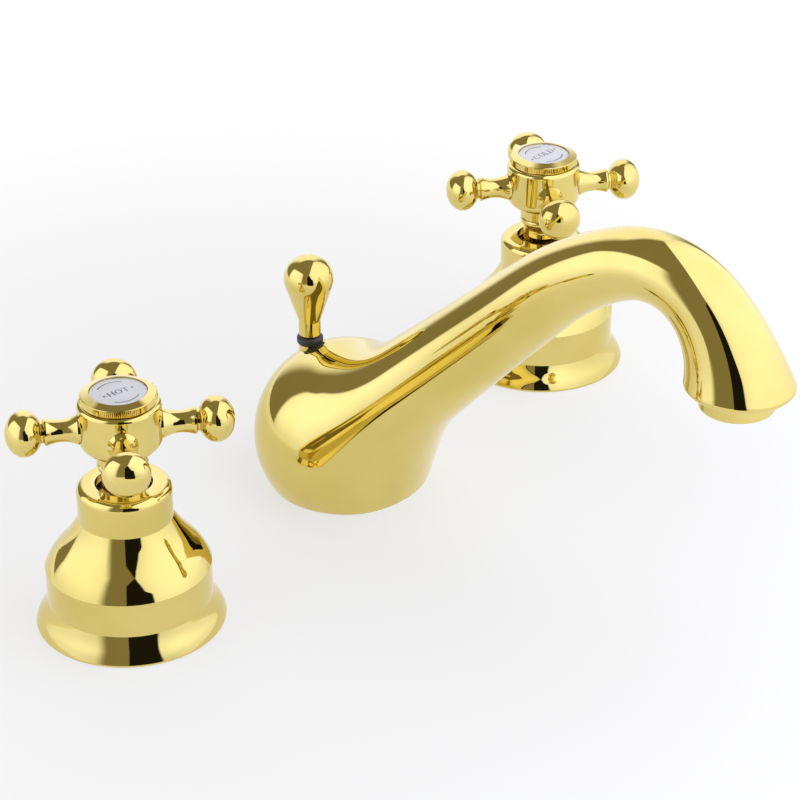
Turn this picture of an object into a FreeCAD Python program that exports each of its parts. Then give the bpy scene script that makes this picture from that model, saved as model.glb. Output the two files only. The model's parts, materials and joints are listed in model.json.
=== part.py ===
import FreeCAD, Part

import math
import os

# Three-hole bathroom basin mixer, in millimetres.
# +Z is up and Z = 0 is the top of the basin deck. The origin is on the spout's base axis, the spout reaches
# towards -Y, the hot valve stands at -X and the cold valve at +X.

# Layout on the basin
VALVE_SPACING = 100.0
DECK_THICKNESS = 30.0

# Fits: radial unless the name says otherwise
RUNNING_CLEARANCE = 0.06
THREAD_CLEARANCE = 0.05
SEAT_CLEARANCE = 0.1
WASHER_CLEARANCE = 0.3
DISC_FACE_GAP = 0.04
THRUST_GAP = 0.2

# Spout casting
BULB_RADIUS = 29.3
BULB_CENTRE_HEIGHT = 15.4
BULB_SETBACK = 1.2
BULB_WALL = 3.5
NECK_BLEND_RADIUS = 22.0
RISE_BASE_HEIGHT = 16.0
RISE_ANGLE = 44.0
RISE_LENGTH = 99.5
SHOULDER_BEND_RADIUS = 88.0
SHOULDER_END_ANGLE = 22.0
CROWN_BEND_RADIUS = 24.6
CROWN_END_ANGLE = -50.5
FALL_BEND_RADIUS = 41.7
FALL_END_ANGLE = -80.0
WATERWAY_RADIUS = 6.0
RIM_EDGE_RADIUS = 1.4
# Outside radius of the tube: span of its centreline, share of that span, radius
TUBE_SECTIONS = [
    ("rise", 0.20, 16.5),
    ("rise", 0.43, 14.8),
    ("rise", 0.70, 13.2),
    ("rise", 1.00, 11.8),
    ("shoulder", 0.50, 10.9),
    ("shoulder", 1.00, 10.3),
    ("crown", 0.50, 10.2),
    ("crown", 1.00, 11.1),
    ("fall", 0.50, 12.8),
    ("fall", 1.00, 15.8),
    ("overrun", 1.00, 18.7),
]
OVERRUN_LENGTH = 8.0
TUBE_STEPS = 28

# Seal ring let into the underside of a base
SEAL_THICKNESS = 1.2
SEAL_WIDTH = 2.2
SEAL_RIM = 0.9

# Aerator
AERATOR_RING_RADIUS = 10.7
AERATOR_RING_HEIGHT = 5.7
AERATOR_EDGE_RADIUS = 0.8
AERATOR_WALL = 1.3
AERATOR_LIP = 0.8
AERATOR_PLATE = 2.4
AERATOR_THREAD_LENGTH = 7.0
AERATOR_SEAL_THICKNESS = 1.0
AERATOR_HOLE_RADIUS = 0.8
AERATOR_HOLE_PITCH = 2.4
AERATOR_HOLE_RINGS = 2

# Pop-up lift rod and knob
ROD_RADIUS = 2.0
ROD_SETBACK_SHARE = 0.495
ROD_TIP_RADIUS = 1.75
ROD_TIP_LENGTH = 20.0
ROD_DROP = 104.0
ROD_THREAD_LENGTH = 6.0
GUIDE_WALL = 1.5
GUIDE_LENGTH = 11.2
ROD_BOSS_WALL = 2.4
ROD_SEAT_RISE = 0.45
ROD_SEAT_MARGIN = 0.45
BUMPER_WALL = 2.0
BUMPER_HEIGHT = 2.7
BUMPER_EDGE_RADIUS = 0.9
KNOB_RADIUS = 7.6
KNOB_NECK_RADIUS = 3.4
KNOB_NECK_LENGTH = 5.25
KNOB_FOOT_CHAMFER = 0.6
KNOB_TAPER_LENGTH = 13.9

# Spout fixing under the deck
SHANK_RADIUS = 8.33
SHANK_BORE_RADIUS = 5.5
SHANK_ENGAGEMENT = 11.0
SHANK_BOSS_WALL = 4.2
SPOUT_NUT_WALL = 2.7
SPOUT_WASHER_RADIUS = 22.0
ROD_SLOT_CLEARANCE = 2.0

# Clamp stack shared by the three units
RUBBER_WASHER_THICKNESS = 3.0
STEEL_WASHER_THICKNESS = 1.5
LOCK_NUT_THICKNESS = 8.0
SPARE_THREAD = 6.0
THREAD_PITCH = 1.5
THREAD_DEPTH = 0.7
THREAD_FLAT_SHARE = 0.05
NUT_CHAMFER = 1.0
NUT_FACE_SHARE = 0.97

# Tee and link tubes between the units
LINK_RADIUS = 5.0
LINK_BORE_RADIUS = 4.0
LINK_INSERTION = 6.0
LINK_THREAD_RADIUS = 8.33
LINK_REACH = 17.0
LINK_NUT_FLATS = 20.0
LINK_NUT_ENGAGEMENT = 9.0
LINK_NUT_WALL = 2.0
OLIVE_LENGTH = 4.0
OLIVE_THICKNESS = 1.8
TEE_RADIUS = 11.0
TEE_FLOOR = 4.0
TEE_SEAL_THICKNESS = 1.2

# Valve body through the deck
BARREL_RADIUS = 12.0
BARREL_WALL = 2.7
BLOCK_STEP = 3.0
BLOCK_HEIGHT = 24.0
BLOCK_FLAT_DEPTH = 1.5
BLOCK_FLOOR = 4.0
CHAMBER_DEPTH = 1.7
CHAMBER_HEIGHT = 12.0
INLET_THREAD_RADIUS = 10.48
INLET_LENGTH = 24.0
INLET_BORE_RADIUS = 5.5
INLET_CHAMFER = 1.0
VALVE_NUT_WALL = 4.0
VALVE_WASHER_WIDTH = 8.0

# Quarter-turn cartridge
STEM_RADIUS = 4.0
STEM_SQUARE = 5.6
STEM_SQUARE_LENGTH = 8.4
STEM_FOOT_WIDTH = 6.4
STEM_FOOT_HEIGHT = 3.0
SEAT_SEAL_THICKNESS = 2.0
SEAT_SEAL_WIDTH = 3.2
CUP_WALL = 0.9
DISC_THICKNESS = 3.4
DISC_PORT_RADIUS = 2.4
DISC_PORT_OFFSET = 4.4
WINDOW_WIDTH = 8.0
WINDOW_HEIGHT = 3.0
STEM_SEAL_SECTION_RADIUS = 0.93
STEM_SEAL_COUNT = 2
GLAND_THREAD_LENGTH = 10.0
GLAND_HEAD_HEIGHT = 4.0
GLAND_HEAD_LEDGE = 0.2
GLAND_HEAD_GAP = 1.5

# Bell cover
BELL_HEIGHT = 44.4
BELL_NECK_WALL = 1.5
BELL_TOP_PLATE = 2.4
BELL_TOP_EDGE_RADIUS = 2.5
BELL_HOLE_RADIUS = 8.2
BELL_THREAD_LENGTH = 16.0
BELL_BAND_RADIUS = 23.7
BELL_WALL = 2.5
BELL_LIP_FLARE = 3.5
BELL_LIP_EDGE = 0.7
BELL_LIP_LEAN = 18.0
BELL_LIP_HEIGHT = 8.0
BELL_LIP_SHARE = 0.44
BELL_SHOULDER_BASE = 18.3
BELL_SHOULDER_TOP = 33.7
BELL_SHOULDER_SHARE = 0.42
BELL_SHOULDER_LEAN = 25.0
BELL_FOOT_ROUND = 0.4

# Cross handle
COLLAR_SINK = 1.4
COLLAR_RADIUS = 6.1
COLLAR_BEAD_RADIUS = 7.25
COLLAR_HEIGHT = 8.9
COLLAR_BEAD_DROP = 1.2
COLLAR_FLARE_SHARE = 0.6
COLLAR_EDGE_ROUND = 0.8
HUB_RADIUS = 11.8
HUB_HEIGHT = 18.6
HUB_NECK_RADIUS = 7.2
HUB_NECK_HEIGHT = 3.6
HUB_FOOT_ROUND = 4.0
HUB_EDGE_ROUND = 1.4
HUB_SCREW_FLOOR = 1.9
HUB_CAVITY_DEPTH = 4.0
SCREW_RADIUS = 1.9
SCREW_LENGTH = 8.0
SCREW_HEAD_RADIUS = 3.5
SCREW_HEAD_HEIGHT = 2.6
SCREW_SLOT_WIDTH = 1.0
SCREW_SLOT_DEPTH = 1.2
SCREW_POCKET_RADIUS = 5.0
HANDLE_REST_ANGLE = 47.0
ARM_COUNT = 4
ARM_DROP = 8.2
ARM_SPIGOT_RADIUS = 2.4
ARM_SPIGOT_LENGTH = 4.8
ARM_ROOT_RADIUS = 4.3
ARM_WAIST_RADIUS = 3.15
ARM_COLLAR_RADIUS = 3.9
ARM_COLLAR_REACH = 8.6
ARM_COLLAR_WIDTH = 0.5
ARM_NECK_RADIUS = 3.1
BALL_REACH = 14.8
BALL_RADIUS = 6.65
BALL_HALF_LENGTH = 5.3

# Index ring and disc on top of the handle
RING_INSET = 1.0
RING_STEP = 0.6
RING_STEP_HEIGHT = 0.3
RING_KNURL_HEIGHT = 1.7
RING_CROWN = 1.0
RING_EDGE_ROUND = 0.25
RING_THREAD_LENGTH = 3.6
RING_THREAD_STEP = 0.2
RING_FLOOR = 1.0
KNURL_COUNT = 120
KNURL_DEPTH = 0.28
BEZEL_WIDTH = 2.6
INDEX_RECESS = 0.35
INDEX_CROWN = 0.12

# Heights that follow from the sizes above
SPOUT_CLAMP_BASE = -(DECK_THICKNESS + RUBBER_WASHER_THICKNESS + STEEL_WASHER_THICKNESS)
BLOCK_TOP = SPOUT_CLAMP_BASE - LOCK_NUT_THICKNESS - SPARE_THREAD
BLOCK_BOTTOM = BLOCK_TOP - BLOCK_HEIGHT
LINK_HEIGHT = BLOCK_TOP - BLOCK_HEIGHT / 2
SEAT_HEIGHT = BLOCK_BOTTOM + BLOCK_FLOOR
FIXED_DISC_HEIGHT = SEAT_HEIGHT + SEAT_SEAL_THICKNESS
MOVING_DISC_HEIGHT = FIXED_DISC_HEIGHT + DISC_THICKNESS + DISC_FACE_GAP
FOOT_HEIGHT = MOVING_DISC_HEIGHT + DISC_THICKNESS
SLEEVE_SHOULDER = FOOT_HEIGHT + STEM_FOOT_HEIGHT + THRUST_GAP
BELL_CEILING = BELL_HEIGHT - BELL_TOP_PLATE
BARREL_TOP = BELL_CEILING - GLAND_HEAD_GAP - GLAND_HEAD_HEIGHT
SLEEVE_TOP = BARREL_TOP - GLAND_THREAD_LENGTH
COLLAR_BASE = BELL_HEIGHT - COLLAR_SINK
HUB_BASE = COLLAR_BASE + COLLAR_HEIGHT
HUB_TOP = HUB_BASE + HUB_HEIGHT
ARM_HEIGHT = HUB_TOP - ARM_DROP
STEM_TOP = HUB_BASE + STEM_SQUARE_LENGTH
POCKET_FLOOR = STEM_TOP + SEAT_CLEARANCE + HUB_SCREW_FLOOR
RING_BASE = HUB_TOP
RING_KNURL_BASE = RING_BASE + RING_STEP_HEIGHT
RING_KNURL_TOP = RING_KNURL_BASE + RING_KNURL_HEIGHT
RING_TOP = RING_KNURL_TOP + RING_CROWN
INDEX_TOP = RING_TOP - INDEX_RECESS

# Radii and places that follow from the sizes above
BARREL_BORE_RADIUS = BARREL_RADIUS - BARREL_WALL
BLOCK_RADIUS = BARREL_RADIUS + BLOCK_STEP
BLOCK_FLATS = 2 * (BLOCK_RADIUS - BLOCK_FLAT_DEPTH)
VALVE_NUT_FLATS = 2 * (BARREL_RADIUS + VALVE_NUT_WALL)
VALVE_WASHER_RADIUS = BARREL_RADIUS + VALVE_WASHER_WIDTH
SPOUT_NUT_FLATS = 2 * (SHANK_RADIUS + SPOUT_NUT_WALL)
SLEEVE_RADIUS = BARREL_BORE_RADIUS - SEAT_CLEARANCE
CUP_RADIUS = SLEEVE_RADIUS - CUP_WALL
DISC_RADIUS = CUP_RADIUS - SEAT_CLEARANCE
GLAND_HEAD_FLATS = 2 * (BARREL_BORE_RADIUS + GLAND_HEAD_LEDGE)
STEM_BORE_RADIUS = STEM_RADIUS + RUNNING_CLEARANCE
STEM_SEAL_RADIUS = STEM_RADIUS + RUNNING_CLEARANCE + STEM_SEAL_SECTION_RADIUS
BELL_NECK_RADIUS = BARREL_RADIUS + BELL_NECK_WALL
RING_RADIUS = HUB_RADIUS - RING_INSET
INDEX_SEAT_RADIUS = RING_RADIUS - BEZEL_WIDTH
INDEX_RADIUS = INDEX_SEAT_RADIUS - SEAT_CLEARANCE
RING_THREAD_RADIUS = INDEX_SEAT_RADIUS + RING_THREAD_STEP
BASE_RADIUS = math.sqrt(BULB_RADIUS ** 2 - BULB_CENTRE_HEIGHT ** 2)
ROD_OFFSET = ROD_SETBACK_SHARE * BULB_RADIUS
ROD_SETBACK = BULB_SETBACK + ROD_OFFSET
ROD_SURFACE_HEIGHT = BULB_CENTRE_HEIGHT + math.sqrt(BULB_RADIUS ** 2 - ROD_OFFSET ** 2)
ROD_SEAT_HEIGHT = ROD_SURFACE_HEIGHT + ROD_SEAT_RISE
BUMPER_RADIUS = ROD_RADIUS + RUNNING_CLEARANCE + BUMPER_WALL
KNOB_BASE = ROD_SEAT_HEIGHT + BUMPER_HEIGHT
GUIDE_RADIUS = ROD_RADIUS + RUNNING_CLEARANCE + GUIDE_WALL
GUIDE_BOTTOM = ROD_SEAT_HEIGHT - GUIDE_LENGTH
LINK_END = VALVE_SPACING - BLOCK_RADIUS - LINK_REACH

# Care taken when edges are picked by their place
EDGE_SAMPLES = 9
PLACE_TOLERANCE = 0.01

ORIGIN = FreeCAD.Vector(0, 0, 0)
X_AXIS = FreeCAD.Vector(1, 0, 0)
Y_AXIS = FreeCAD.Vector(0, 1, 0)
Z_AXIS = FreeCAD.Vector(0, 0, 1)
BULB_CENTRE = FreeCAD.Vector(0, BULB_SETBACK, BULB_CENTRE_HEIGHT)
RISE_BASE = FreeCAD.Vector(0, 0, RISE_BASE_HEIGHT)


class Outline:
    """A half-section in radius and height, drawn point by point and turned about the Z axis."""

    def __init__(self, radius, height):
        self.start = (radius, height)
        self.now = (radius, height)
        self.edges = []

    def point(self, radius, height):
        return FreeCAD.Vector(radius, 0, height)

    def line(self, radius, height):
        edge = Part.LineSegment(self.point(*self.now), self.point(radius, height))
        self.edges.append(edge.toShape())
        self.now = (radius, height)
        return self

    def arc(self, middle, end):
        edge = Part.Arc(self.point(*self.now), self.point(*middle), self.point(*end))
        self.edges.append(edge.toShape())
        self.now = end
        return self

    def round_about(self, centre, end):
        """Short arc about a centre, from the current point to the end."""
        angles = [math.atan2(p[1] - centre[1], p[0] - centre[0]) for p in (self.now, end)]
        turn = (angles[1] - angles[0] + math.pi) % (2 * math.pi) - math.pi
        reach = math.dist(self.now, centre)
        halfway = angles[0] + turn / 2
        middle = (centre[0] + reach * math.cos(halfway), centre[1] + reach * math.sin(halfway))
        return self.arc(middle, end)

    def ogee(self, radius, height, share, lean=0.0):
        """Two tangent arcs, equally far from upright at both ends. The share is the first arc's."""
        r0, z0 = self.now
        side = math.copysign(1, radius - r0)
        sine, cosine = math.sin(math.radians(lean)), math.cos(math.radians(lean))
        step = abs(radius - r0) * cosine - (height - z0) * sine
        climb = abs(radius - r0) * sine + (height - z0) * cosine
        turn = 2 * math.atan2(step, climb)
        first = share * climb / math.sin(turn)
        second = (1 - share) * climb / math.sin(turn)

        def leaned(across, along):
            return r0 + side * (across * cosine + along * sine), z0 + along * cosine - across * sine

        self.round_about(leaned(first, 0), leaned(first * (1 - math.cos(turn)), first * math.sin(turn)))
        return self.round_about(leaned(step - second, climb), (radius, height))

    def thread(self, height):
        """Thread crests and roots, as level ridges from the current height to the given one."""
        crest, z0 = self.now
        count = int(abs(height - z0) / THREAD_PITCH)
        pitch = (height - z0) / count
        for turn in range(count):
            base = z0 + turn * pitch
            self.line(crest - THREAD_DEPTH, base + pitch * (0.5 - THREAD_FLAT_SHARE))
            self.line(crest - THREAD_DEPTH, base + pitch * (0.5 + THREAD_FLAT_SHARE))
            self.line(crest, base + pitch * (1 - THREAD_FLAT_SHARE))
            self.line(crest, base + pitch)
        return self

    def turned(self):
        self.line(*self.start)
        face = Part.Face(Part.Wire(self.edges))
        return face.revolve(ORIGIN, Z_AXIS, 360)


def cylinder(radius, bottom, top, x=0.0, y=0.0):
    return Part.makeCylinder(radius, top - bottom, FreeCAD.Vector(x, y, bottom), Z_AXIS)


def ring(inner, outer, bottom, top):
    return cylinder(outer, bottom, top).cut(cylinder(inner, bottom, top))


def level_cylinder(radius, start, end, height):
    """Cylinder along X at the given height."""
    return Part.makeCylinder(radius, end - start, FreeCAD.Vector(start, 0, height), X_AXIS)


def centred_box(size_x, size_y, bottom, top, x=0.0, y=0.0):
    corner = FreeCAD.Vector(x - size_x / 2, y - size_y / 2, bottom)
    return Part.makeBox(size_x, size_y, top - bottom, corner)


def hexagon(across_flats, bottom, top):
    """Hexagonal prism with chamfered corners and flats that face +Y and -Y."""
    corner = across_flats / math.sqrt(3)
    angles = [math.radians(60 * side) for side in range(7)]
    points = [FreeCAD.Vector(corner * math.cos(a), corner * math.sin(a), bottom) for a in angles]
    prism = Part.Face(Part.makePolygon(points)).extrude(Z_AXIS * (top - bottom))
    face_radius = across_flats / 2 * NUT_FACE_SHARE
    chamfer = Outline(0, bottom).line(face_radius, bottom).line(corner, bottom + NUT_CHAMFER)
    chamfer.line(corner, top - NUT_CHAMFER).line(face_radius, top).line(0, top)
    return prism.common(chamfer.turned())


def toward_x(shape):
    """Turn a shape drawn along +Z so that it lies along +X."""
    shape.rotate(ORIGIN, Y_AXIS, 90)
    return shape


def placed(shape, x=0.0, turn=0.0):
    copy = shape.copy()
    copy.rotate(ORIGIN, Z_AXIS, turn)
    copy.translate(FreeCAD.Vector(x, 0, 0))
    return copy


def spout_point(reach, height):
    return FreeCAD.Vector(0, -reach, height)


def spout_spine():
    """Centreline of the spout as named edges: straight rise, three tangent bends and a straight overrun."""
    angle = math.radians(RISE_ANGLE)
    here = (0.0, RISE_BASE_HEIGHT)
    there = (RISE_LENGTH * math.cos(angle), RISE_BASE_HEIGHT + RISE_LENGTH * math.sin(angle))
    spans = {"rise": Part.LineSegment(spout_point(*here), spout_point(*there)).toShape()}
    bends = [
        ("shoulder", SHOULDER_BEND_RADIUS, SHOULDER_END_ANGLE),
        ("crown", CROWN_BEND_RADIUS, CROWN_END_ANGLE),
        ("fall", FALL_BEND_RADIUS, FALL_END_ANGLE),
    ]
    for name, radius, end_degrees in bends:
        end_angle = math.radians(end_degrees)
        centre = (there[0] + radius * math.sin(angle), there[1] - radius * math.cos(angle))
        stops = []
        for share in (0.0, 0.5, 1.0):
            a = angle + (end_angle - angle) * share
            stops.append(spout_point(centre[0] - radius * math.sin(a), centre[1] + radius * math.cos(a)))
        spans[name] = Part.Arc(*stops).toShape()
        there = (-stops[2].y, stops[2].z)
        angle = end_angle
    end = (there[0] + OVERRUN_LENGTH * math.cos(angle), there[1] + OVERRUN_LENGTH * math.sin(angle))
    spans["overrun"] = Part.LineSegment(spout_point(*there), spout_point(*end)).toShape()
    return spans


SPINE = spout_spine()
RIM_CENTRE = SPINE["overrun"].valueAt(SPINE["overrun"].FirstParameter)
RIM_HEIGHT = RIM_CENTRE.z
SPOUT_REACH = -RIM_CENTRE.y


def spine_distance(span, share):
    """Distance along the whole centreline of a share of one of its spans."""
    names = list(SPINE)
    before = names[: names.index(span)]
    return sum(SPINE[name].Length for name in before) + SPINE[span].Length * share


def spine_circle(distance, radius):
    """Circle about the centreline, square to it, at a distance along it."""
    for edge in SPINE.values():
        if distance <= edge.Length + PLACE_TOLERANCE:
            break
        distance -= edge.Length
    parameter = edge.getParameterByLength(min(distance, edge.Length))
    circle = Part.Circle(edge.valueAt(parameter), edge.tangentAt(parameter), radius)
    circle.XAxis = X_AXIS
    return Part.Wire(circle.toShape())


def tube_circles():
    """Evenly spaced sections of the tube, on a smooth curve through the radii that are set."""
    stops = [(spine_distance(span, share), radius) for span, share, radius in TUBE_SECTIONS]
    profile = Part.BSplineCurve()
    profile.interpolate(
        Points=[FreeCAD.Vector(distance, radius, 0) for distance, radius in stops],
        Parameters=[distance for distance, radius in stops],
    )
    start = stops[0][0]
    step = (stops[-1][0] - start) / TUBE_STEPS
    distances = [start + step * number for number in range(TUBE_STEPS + 1)]
    return [spine_circle(distance, profile.value(distance).y) for distance in distances]


def at_rim(shape):
    shape.translate(FreeCAD.Vector(0, -SPOUT_REACH, 0))
    return shape


def at_bulb(shape):
    shape.translate(FreeCAD.Vector(0, BULB_SETBACK, 0))
    return shape


def at_rod(shape):
    shape.translate(FreeCAD.Vector(0, ROD_SETBACK, 0))
    return shape


def spout_outside():
    bulb = Part.makeSphere(BULB_RADIUS, BULB_CENTRE)
    tube = Part.makeLoft(tube_circles(), True, False)
    width = 4 * TUBE_SECTIONS[-1][2]
    below_rim = centred_box(width, width, RIM_HEIGHT - width, RIM_HEIGHT, y=-SPOUT_REACH)
    joined = bulb.fuse(tube.cut(below_rim))
    neck = [e for e in joined.Edges if is_neck_edge(e)]
    blended = joined.makeFillet(NECK_BLEND_RADIUS, neck)
    under_deck = centred_box(4 * BULB_RADIUS, 4 * BULB_RADIUS, -2 * BULB_RADIUS, 0)
    return blended.cut(under_deck)


def is_neck_edge(edge):
    """True on the curve where the tube leaves the bulb."""
    if edge.Degenerated:
        return False
    samples = edge.discretize(EDGE_SAMPLES)
    on_bulb = all(abs(p.distanceToPoint(BULB_CENTRE) - BULB_RADIUS) < PLACE_TOLERANCE for p in samples)
    in_front = all(p.y < 0 for p in samples)
    return on_bulb and in_front


def spout_waterway():
    start = spine_circle(0, WATERWAY_RADIUS)
    path = Part.Wire([SPINE[name] for name in ("rise", "shoulder", "crown", "fall")])
    passage = path.makePipeShell([start], True, False)
    elbow = Part.makeSphere(WATERWAY_RADIUS, RISE_BASE)
    feed = cylinder(WATERWAY_RADIUS, SHANK_ENGAGEMENT, RISE_BASE_HEIGHT)
    return passage.fuse([elbow, feed])


def bulb_cavity():
    """Hollow under the bulb, around the shank boss, the water duct and the lift rod's boss."""
    hollow = Part.makeSphere(BULB_RADIUS - BULB_WALL, BULB_CENTRE)
    boss_radius = SHANK_RADIUS + SHANK_BOSS_WALL
    boss = cylinder(boss_radius, -BULB_RADIUS, RISE_BASE_HEIGHT)
    crown = Part.makeSphere(boss_radius, RISE_BASE)
    rise = SPINE["rise"].tangentAt(SPINE["rise"].FirstParameter)
    duct = Part.makeCylinder(boss_radius, 2 * BULB_RADIUS, RISE_BASE, rise)
    rod_boss = cylinder(GUIDE_RADIUS + ROD_BOSS_WALL, GUIDE_BOTTOM, 2 * BULB_RADIUS, y=ROD_SETBACK)
    below = centred_box(4 * BULB_RADIUS, 4 * BULB_RADIUS, -2 * BULB_RADIUS, 0)
    return hollow.cut([boss, crown, duct, rod_boss, below])


def spout_body():
    body = spout_outside()
    groove_radius = BASE_RADIUS - SEAL_RIM
    groove_width = SEAL_WIDTH + 2 * SEAT_CLEARANCE
    seal_groove = at_bulb(ring(groove_radius - groove_width, groove_radius, 0, SEAL_THICKNESS))
    shank_socket = cylinder(SHANK_RADIUS + THREAD_CLEARANCE, 0, SHANK_ENGAGEMENT)
    guide_bore = cylinder(GUIDE_RADIUS + SEAT_CLEARANCE, 0, 2 * BULB_RADIUS, y=ROD_SETBACK)
    seat_radius = BUMPER_RADIUS + ROD_SEAT_MARGIN
    bumper_seat = cylinder(seat_radius, ROD_SEAT_HEIGHT, 2 * BULB_RADIUS, y=ROD_SETBACK)
    aerator_socket = at_rim(
        cylinder(
            aerator_thread_radius() + THREAD_CLEARANCE,
            RIM_HEIGHT,
            RIM_HEIGHT + AERATOR_THREAD_LENGTH + AERATOR_SEAL_THICKNESS,
        )
    )
    fittings = [seal_groove, shank_socket, guide_bore, bumper_seat, aerator_socket]
    body = body.cut([bulb_cavity(), spout_waterway()] + fittings)
    rim = [e for e in body.Edges if is_outer_rim_edge(e)]
    return body.makeFillet(RIM_EDGE_RADIUS, rim)


def is_outer_rim_edge(edge):
    if edge.Degenerated:
        return False
    samples = edge.discretize(EDGE_SAMPLES)
    on_rim = all(abs(p.z - RIM_HEIGHT) < PLACE_TOLERANCE for p in samples)
    reaches = [math.hypot(p.x, p.y + SPOUT_REACH) for p in samples]
    return on_rim and min(reaches) > AERATOR_RING_RADIUS


def base_seal():
    outer = BASE_RADIUS - SEAL_RIM - SEAT_CLEARANCE
    return at_bulb(ring(outer - SEAL_WIDTH, outer, 0, SEAL_THICKNESS))


def aerator_thread_radius():
    return AERATOR_RING_RADIUS - AERATOR_LIP


def aerator_bore_radius():
    return aerator_thread_radius() - AERATOR_WALL


def aerator_housing():
    bottom = RIM_HEIGHT - AERATOR_RING_HEIGHT
    top = RIM_HEIGHT + AERATOR_THREAD_LENGTH
    bore = aerator_bore_radius()
    outline = Outline(bore - AERATOR_LIP, bottom)
    outline.line(AERATOR_RING_RADIUS - AERATOR_EDGE_RADIUS, bottom)
    outline.round_about(
        (AERATOR_RING_RADIUS - AERATOR_EDGE_RADIUS, bottom + AERATOR_EDGE_RADIUS),
        (AERATOR_RING_RADIUS, bottom + AERATOR_EDGE_RADIUS),
    )
    outline.line(AERATOR_RING_RADIUS, RIM_HEIGHT).line(aerator_thread_radius(), RIM_HEIGHT)
    outline.line(aerator_thread_radius(), top).line(bore, top)
    outline.line(bore, bottom + AERATOR_LIP).line(bore - AERATOR_LIP, bottom + AERATOR_LIP)
    return at_rim(outline.turned())


def aerator_insert():
    """Plastic flow straightener with rings of small holes."""
    bottom = RIM_HEIGHT - AERATOR_RING_HEIGHT + AERATOR_LIP
    top = RIM_HEIGHT + AERATOR_THREAD_LENGTH
    plate = bottom + AERATOR_PLATE
    radius = aerator_bore_radius() - SEAT_CLEARANCE
    insert = cylinder(radius, bottom, top).cut(cylinder(radius - AERATOR_WALL, plate, top))
    holes = [cylinder(AERATOR_HOLE_RADIUS, bottom, plate)]
    for level in range(1, AERATOR_HOLE_RINGS + 1):
        for step in range(6 * level):
            angle = math.radians(60.0 / level * step)
            reach = AERATOR_HOLE_PITCH * level
            x = reach * math.cos(angle)
            y = reach * math.sin(angle)
            holes.append(cylinder(AERATOR_HOLE_RADIUS, bottom, plate, x, y))
    return at_rim(insert.cut(holes))


def aerator_seal():
    bottom = RIM_HEIGHT + AERATOR_THREAD_LENGTH
    return at_rim(ring(WATERWAY_RADIUS, aerator_thread_radius(), bottom, bottom + AERATOR_SEAL_THICKNESS))


def lift_rod():
    top = KNOB_BASE + ROD_THREAD_LENGTH
    bottom = -ROD_DROP
    rod = cylinder(ROD_RADIUS, bottom + ROD_TIP_LENGTH, top)
    return at_rod(rod.fuse(cylinder(ROD_TIP_RADIUS, bottom, bottom + ROD_TIP_LENGTH)))


def lift_knob():
    neck_top = KNOB_BASE + KNOB_NECK_LENGTH
    centre = neck_top + KNOB_TAPER_LENGTH
    reach = math.hypot(KNOB_TAPER_LENGTH, KNOB_NECK_RADIUS)
    flare = math.asin(KNOB_RADIUS / reach) - math.atan2(KNOB_NECK_RADIUS, KNOB_TAPER_LENGTH)
    touch = (KNOB_RADIUS * math.cos(flare), centre - KNOB_RADIUS * math.sin(flare))
    outline = Outline(0, KNOB_BASE).line(KNOB_NECK_RADIUS - KNOB_FOOT_CHAMFER, KNOB_BASE)
    outline.line(KNOB_NECK_RADIUS, KNOB_BASE + KNOB_FOOT_CHAMFER).line(KNOB_NECK_RADIUS, neck_top)
    outline.line(*touch).round_about((0, centre), (KNOB_RADIUS, centre))
    outline.round_about((0, centre), (0, centre + KNOB_RADIUS))
    socket = cylinder(ROD_RADIUS + THREAD_CLEARANCE, KNOB_BASE, KNOB_BASE + ROD_THREAD_LENGTH)
    return at_rod(outline.turned().cut(socket))


def lift_bumper():
    """Rubber ring under the knob, rounded all over, that lands on the guide bush."""
    bumper = ring(ROD_RADIUS + RUNNING_CLEARANCE, BUMPER_RADIUS, ROD_SEAT_HEIGHT, KNOB_BASE)
    edges = [e for e in bumper.Edges if isinstance(e.Curve, Part.Circle)]
    return at_rod(bumper.makeFillet(BUMPER_EDGE_RADIUS, edges))


def rod_guide():
    return at_rod(ring(ROD_RADIUS + RUNNING_CLEARANCE, GUIDE_RADIUS, GUIDE_BOTTOM, ROD_SEAT_HEIGHT))


def threaded_shank(radius, bore, bottom, top):
    """Hollow shank, plain where it is screwed home at both ends and threaded between."""
    outline = Outline(bore, bottom).line(radius, bottom).line(radius, BLOCK_TOP)
    outline.thread(-THREAD_PITCH)
    return outline.line(radius, top).line(bore, top).turned()


def shank_bottom():
    return LINK_HEIGHT + LINK_RADIUS + TEE_SEAL_THICKNESS


def spout_shank():
    return threaded_shank(SHANK_RADIUS, SHANK_BORE_RADIUS, shank_bottom(), SHANK_ENGAGEMENT)


def horseshoe_washer(bottom, top):
    """Round washer with a slot, open to the back, that the lift rod passes through."""
    washer = ring(SHANK_RADIUS + WASHER_CLEARANCE, SPOUT_WASHER_RADIUS, bottom, top)
    slot_width = 2 * (ROD_RADIUS + ROD_SLOT_CLEARANCE)
    slot = cylinder(slot_width / 2, bottom, top, y=ROD_SETBACK)
    mouth_centre = ROD_SETBACK + SPOUT_WASHER_RADIUS / 2
    mouth = centred_box(slot_width, SPOUT_WASHER_RADIUS, bottom, top, y=mouth_centre)
    return washer.cut([slot, mouth])


def lock_nut(across_flats, bore):
    top = SPOUT_CLAMP_BASE
    bottom = top - LOCK_NUT_THICKNESS
    return hexagon(across_flats, bottom, top).cut(cylinder(bore + THREAD_CLEARANCE, bottom, top))


def rubber_washer_span():
    return -DECK_THICKNESS - RUBBER_WASHER_THICKNESS, -DECK_THICKNESS


def steel_washer_span():
    return SPOUT_CLAMP_BASE, -DECK_THICKNESS - RUBBER_WASHER_THICKNESS


def link_socket(end):
    """Bore of a tube connection whose mouth is at the given distance along X."""
    start = end - LINK_INSERTION
    socket = level_cylinder(LINK_RADIUS + SEAT_CLEARANCE, start, end, LINK_HEIGHT)
    return socket.fuse(level_cylinder(LINK_BORE_RADIUS, 0, end, LINK_HEIGHT))


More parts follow.
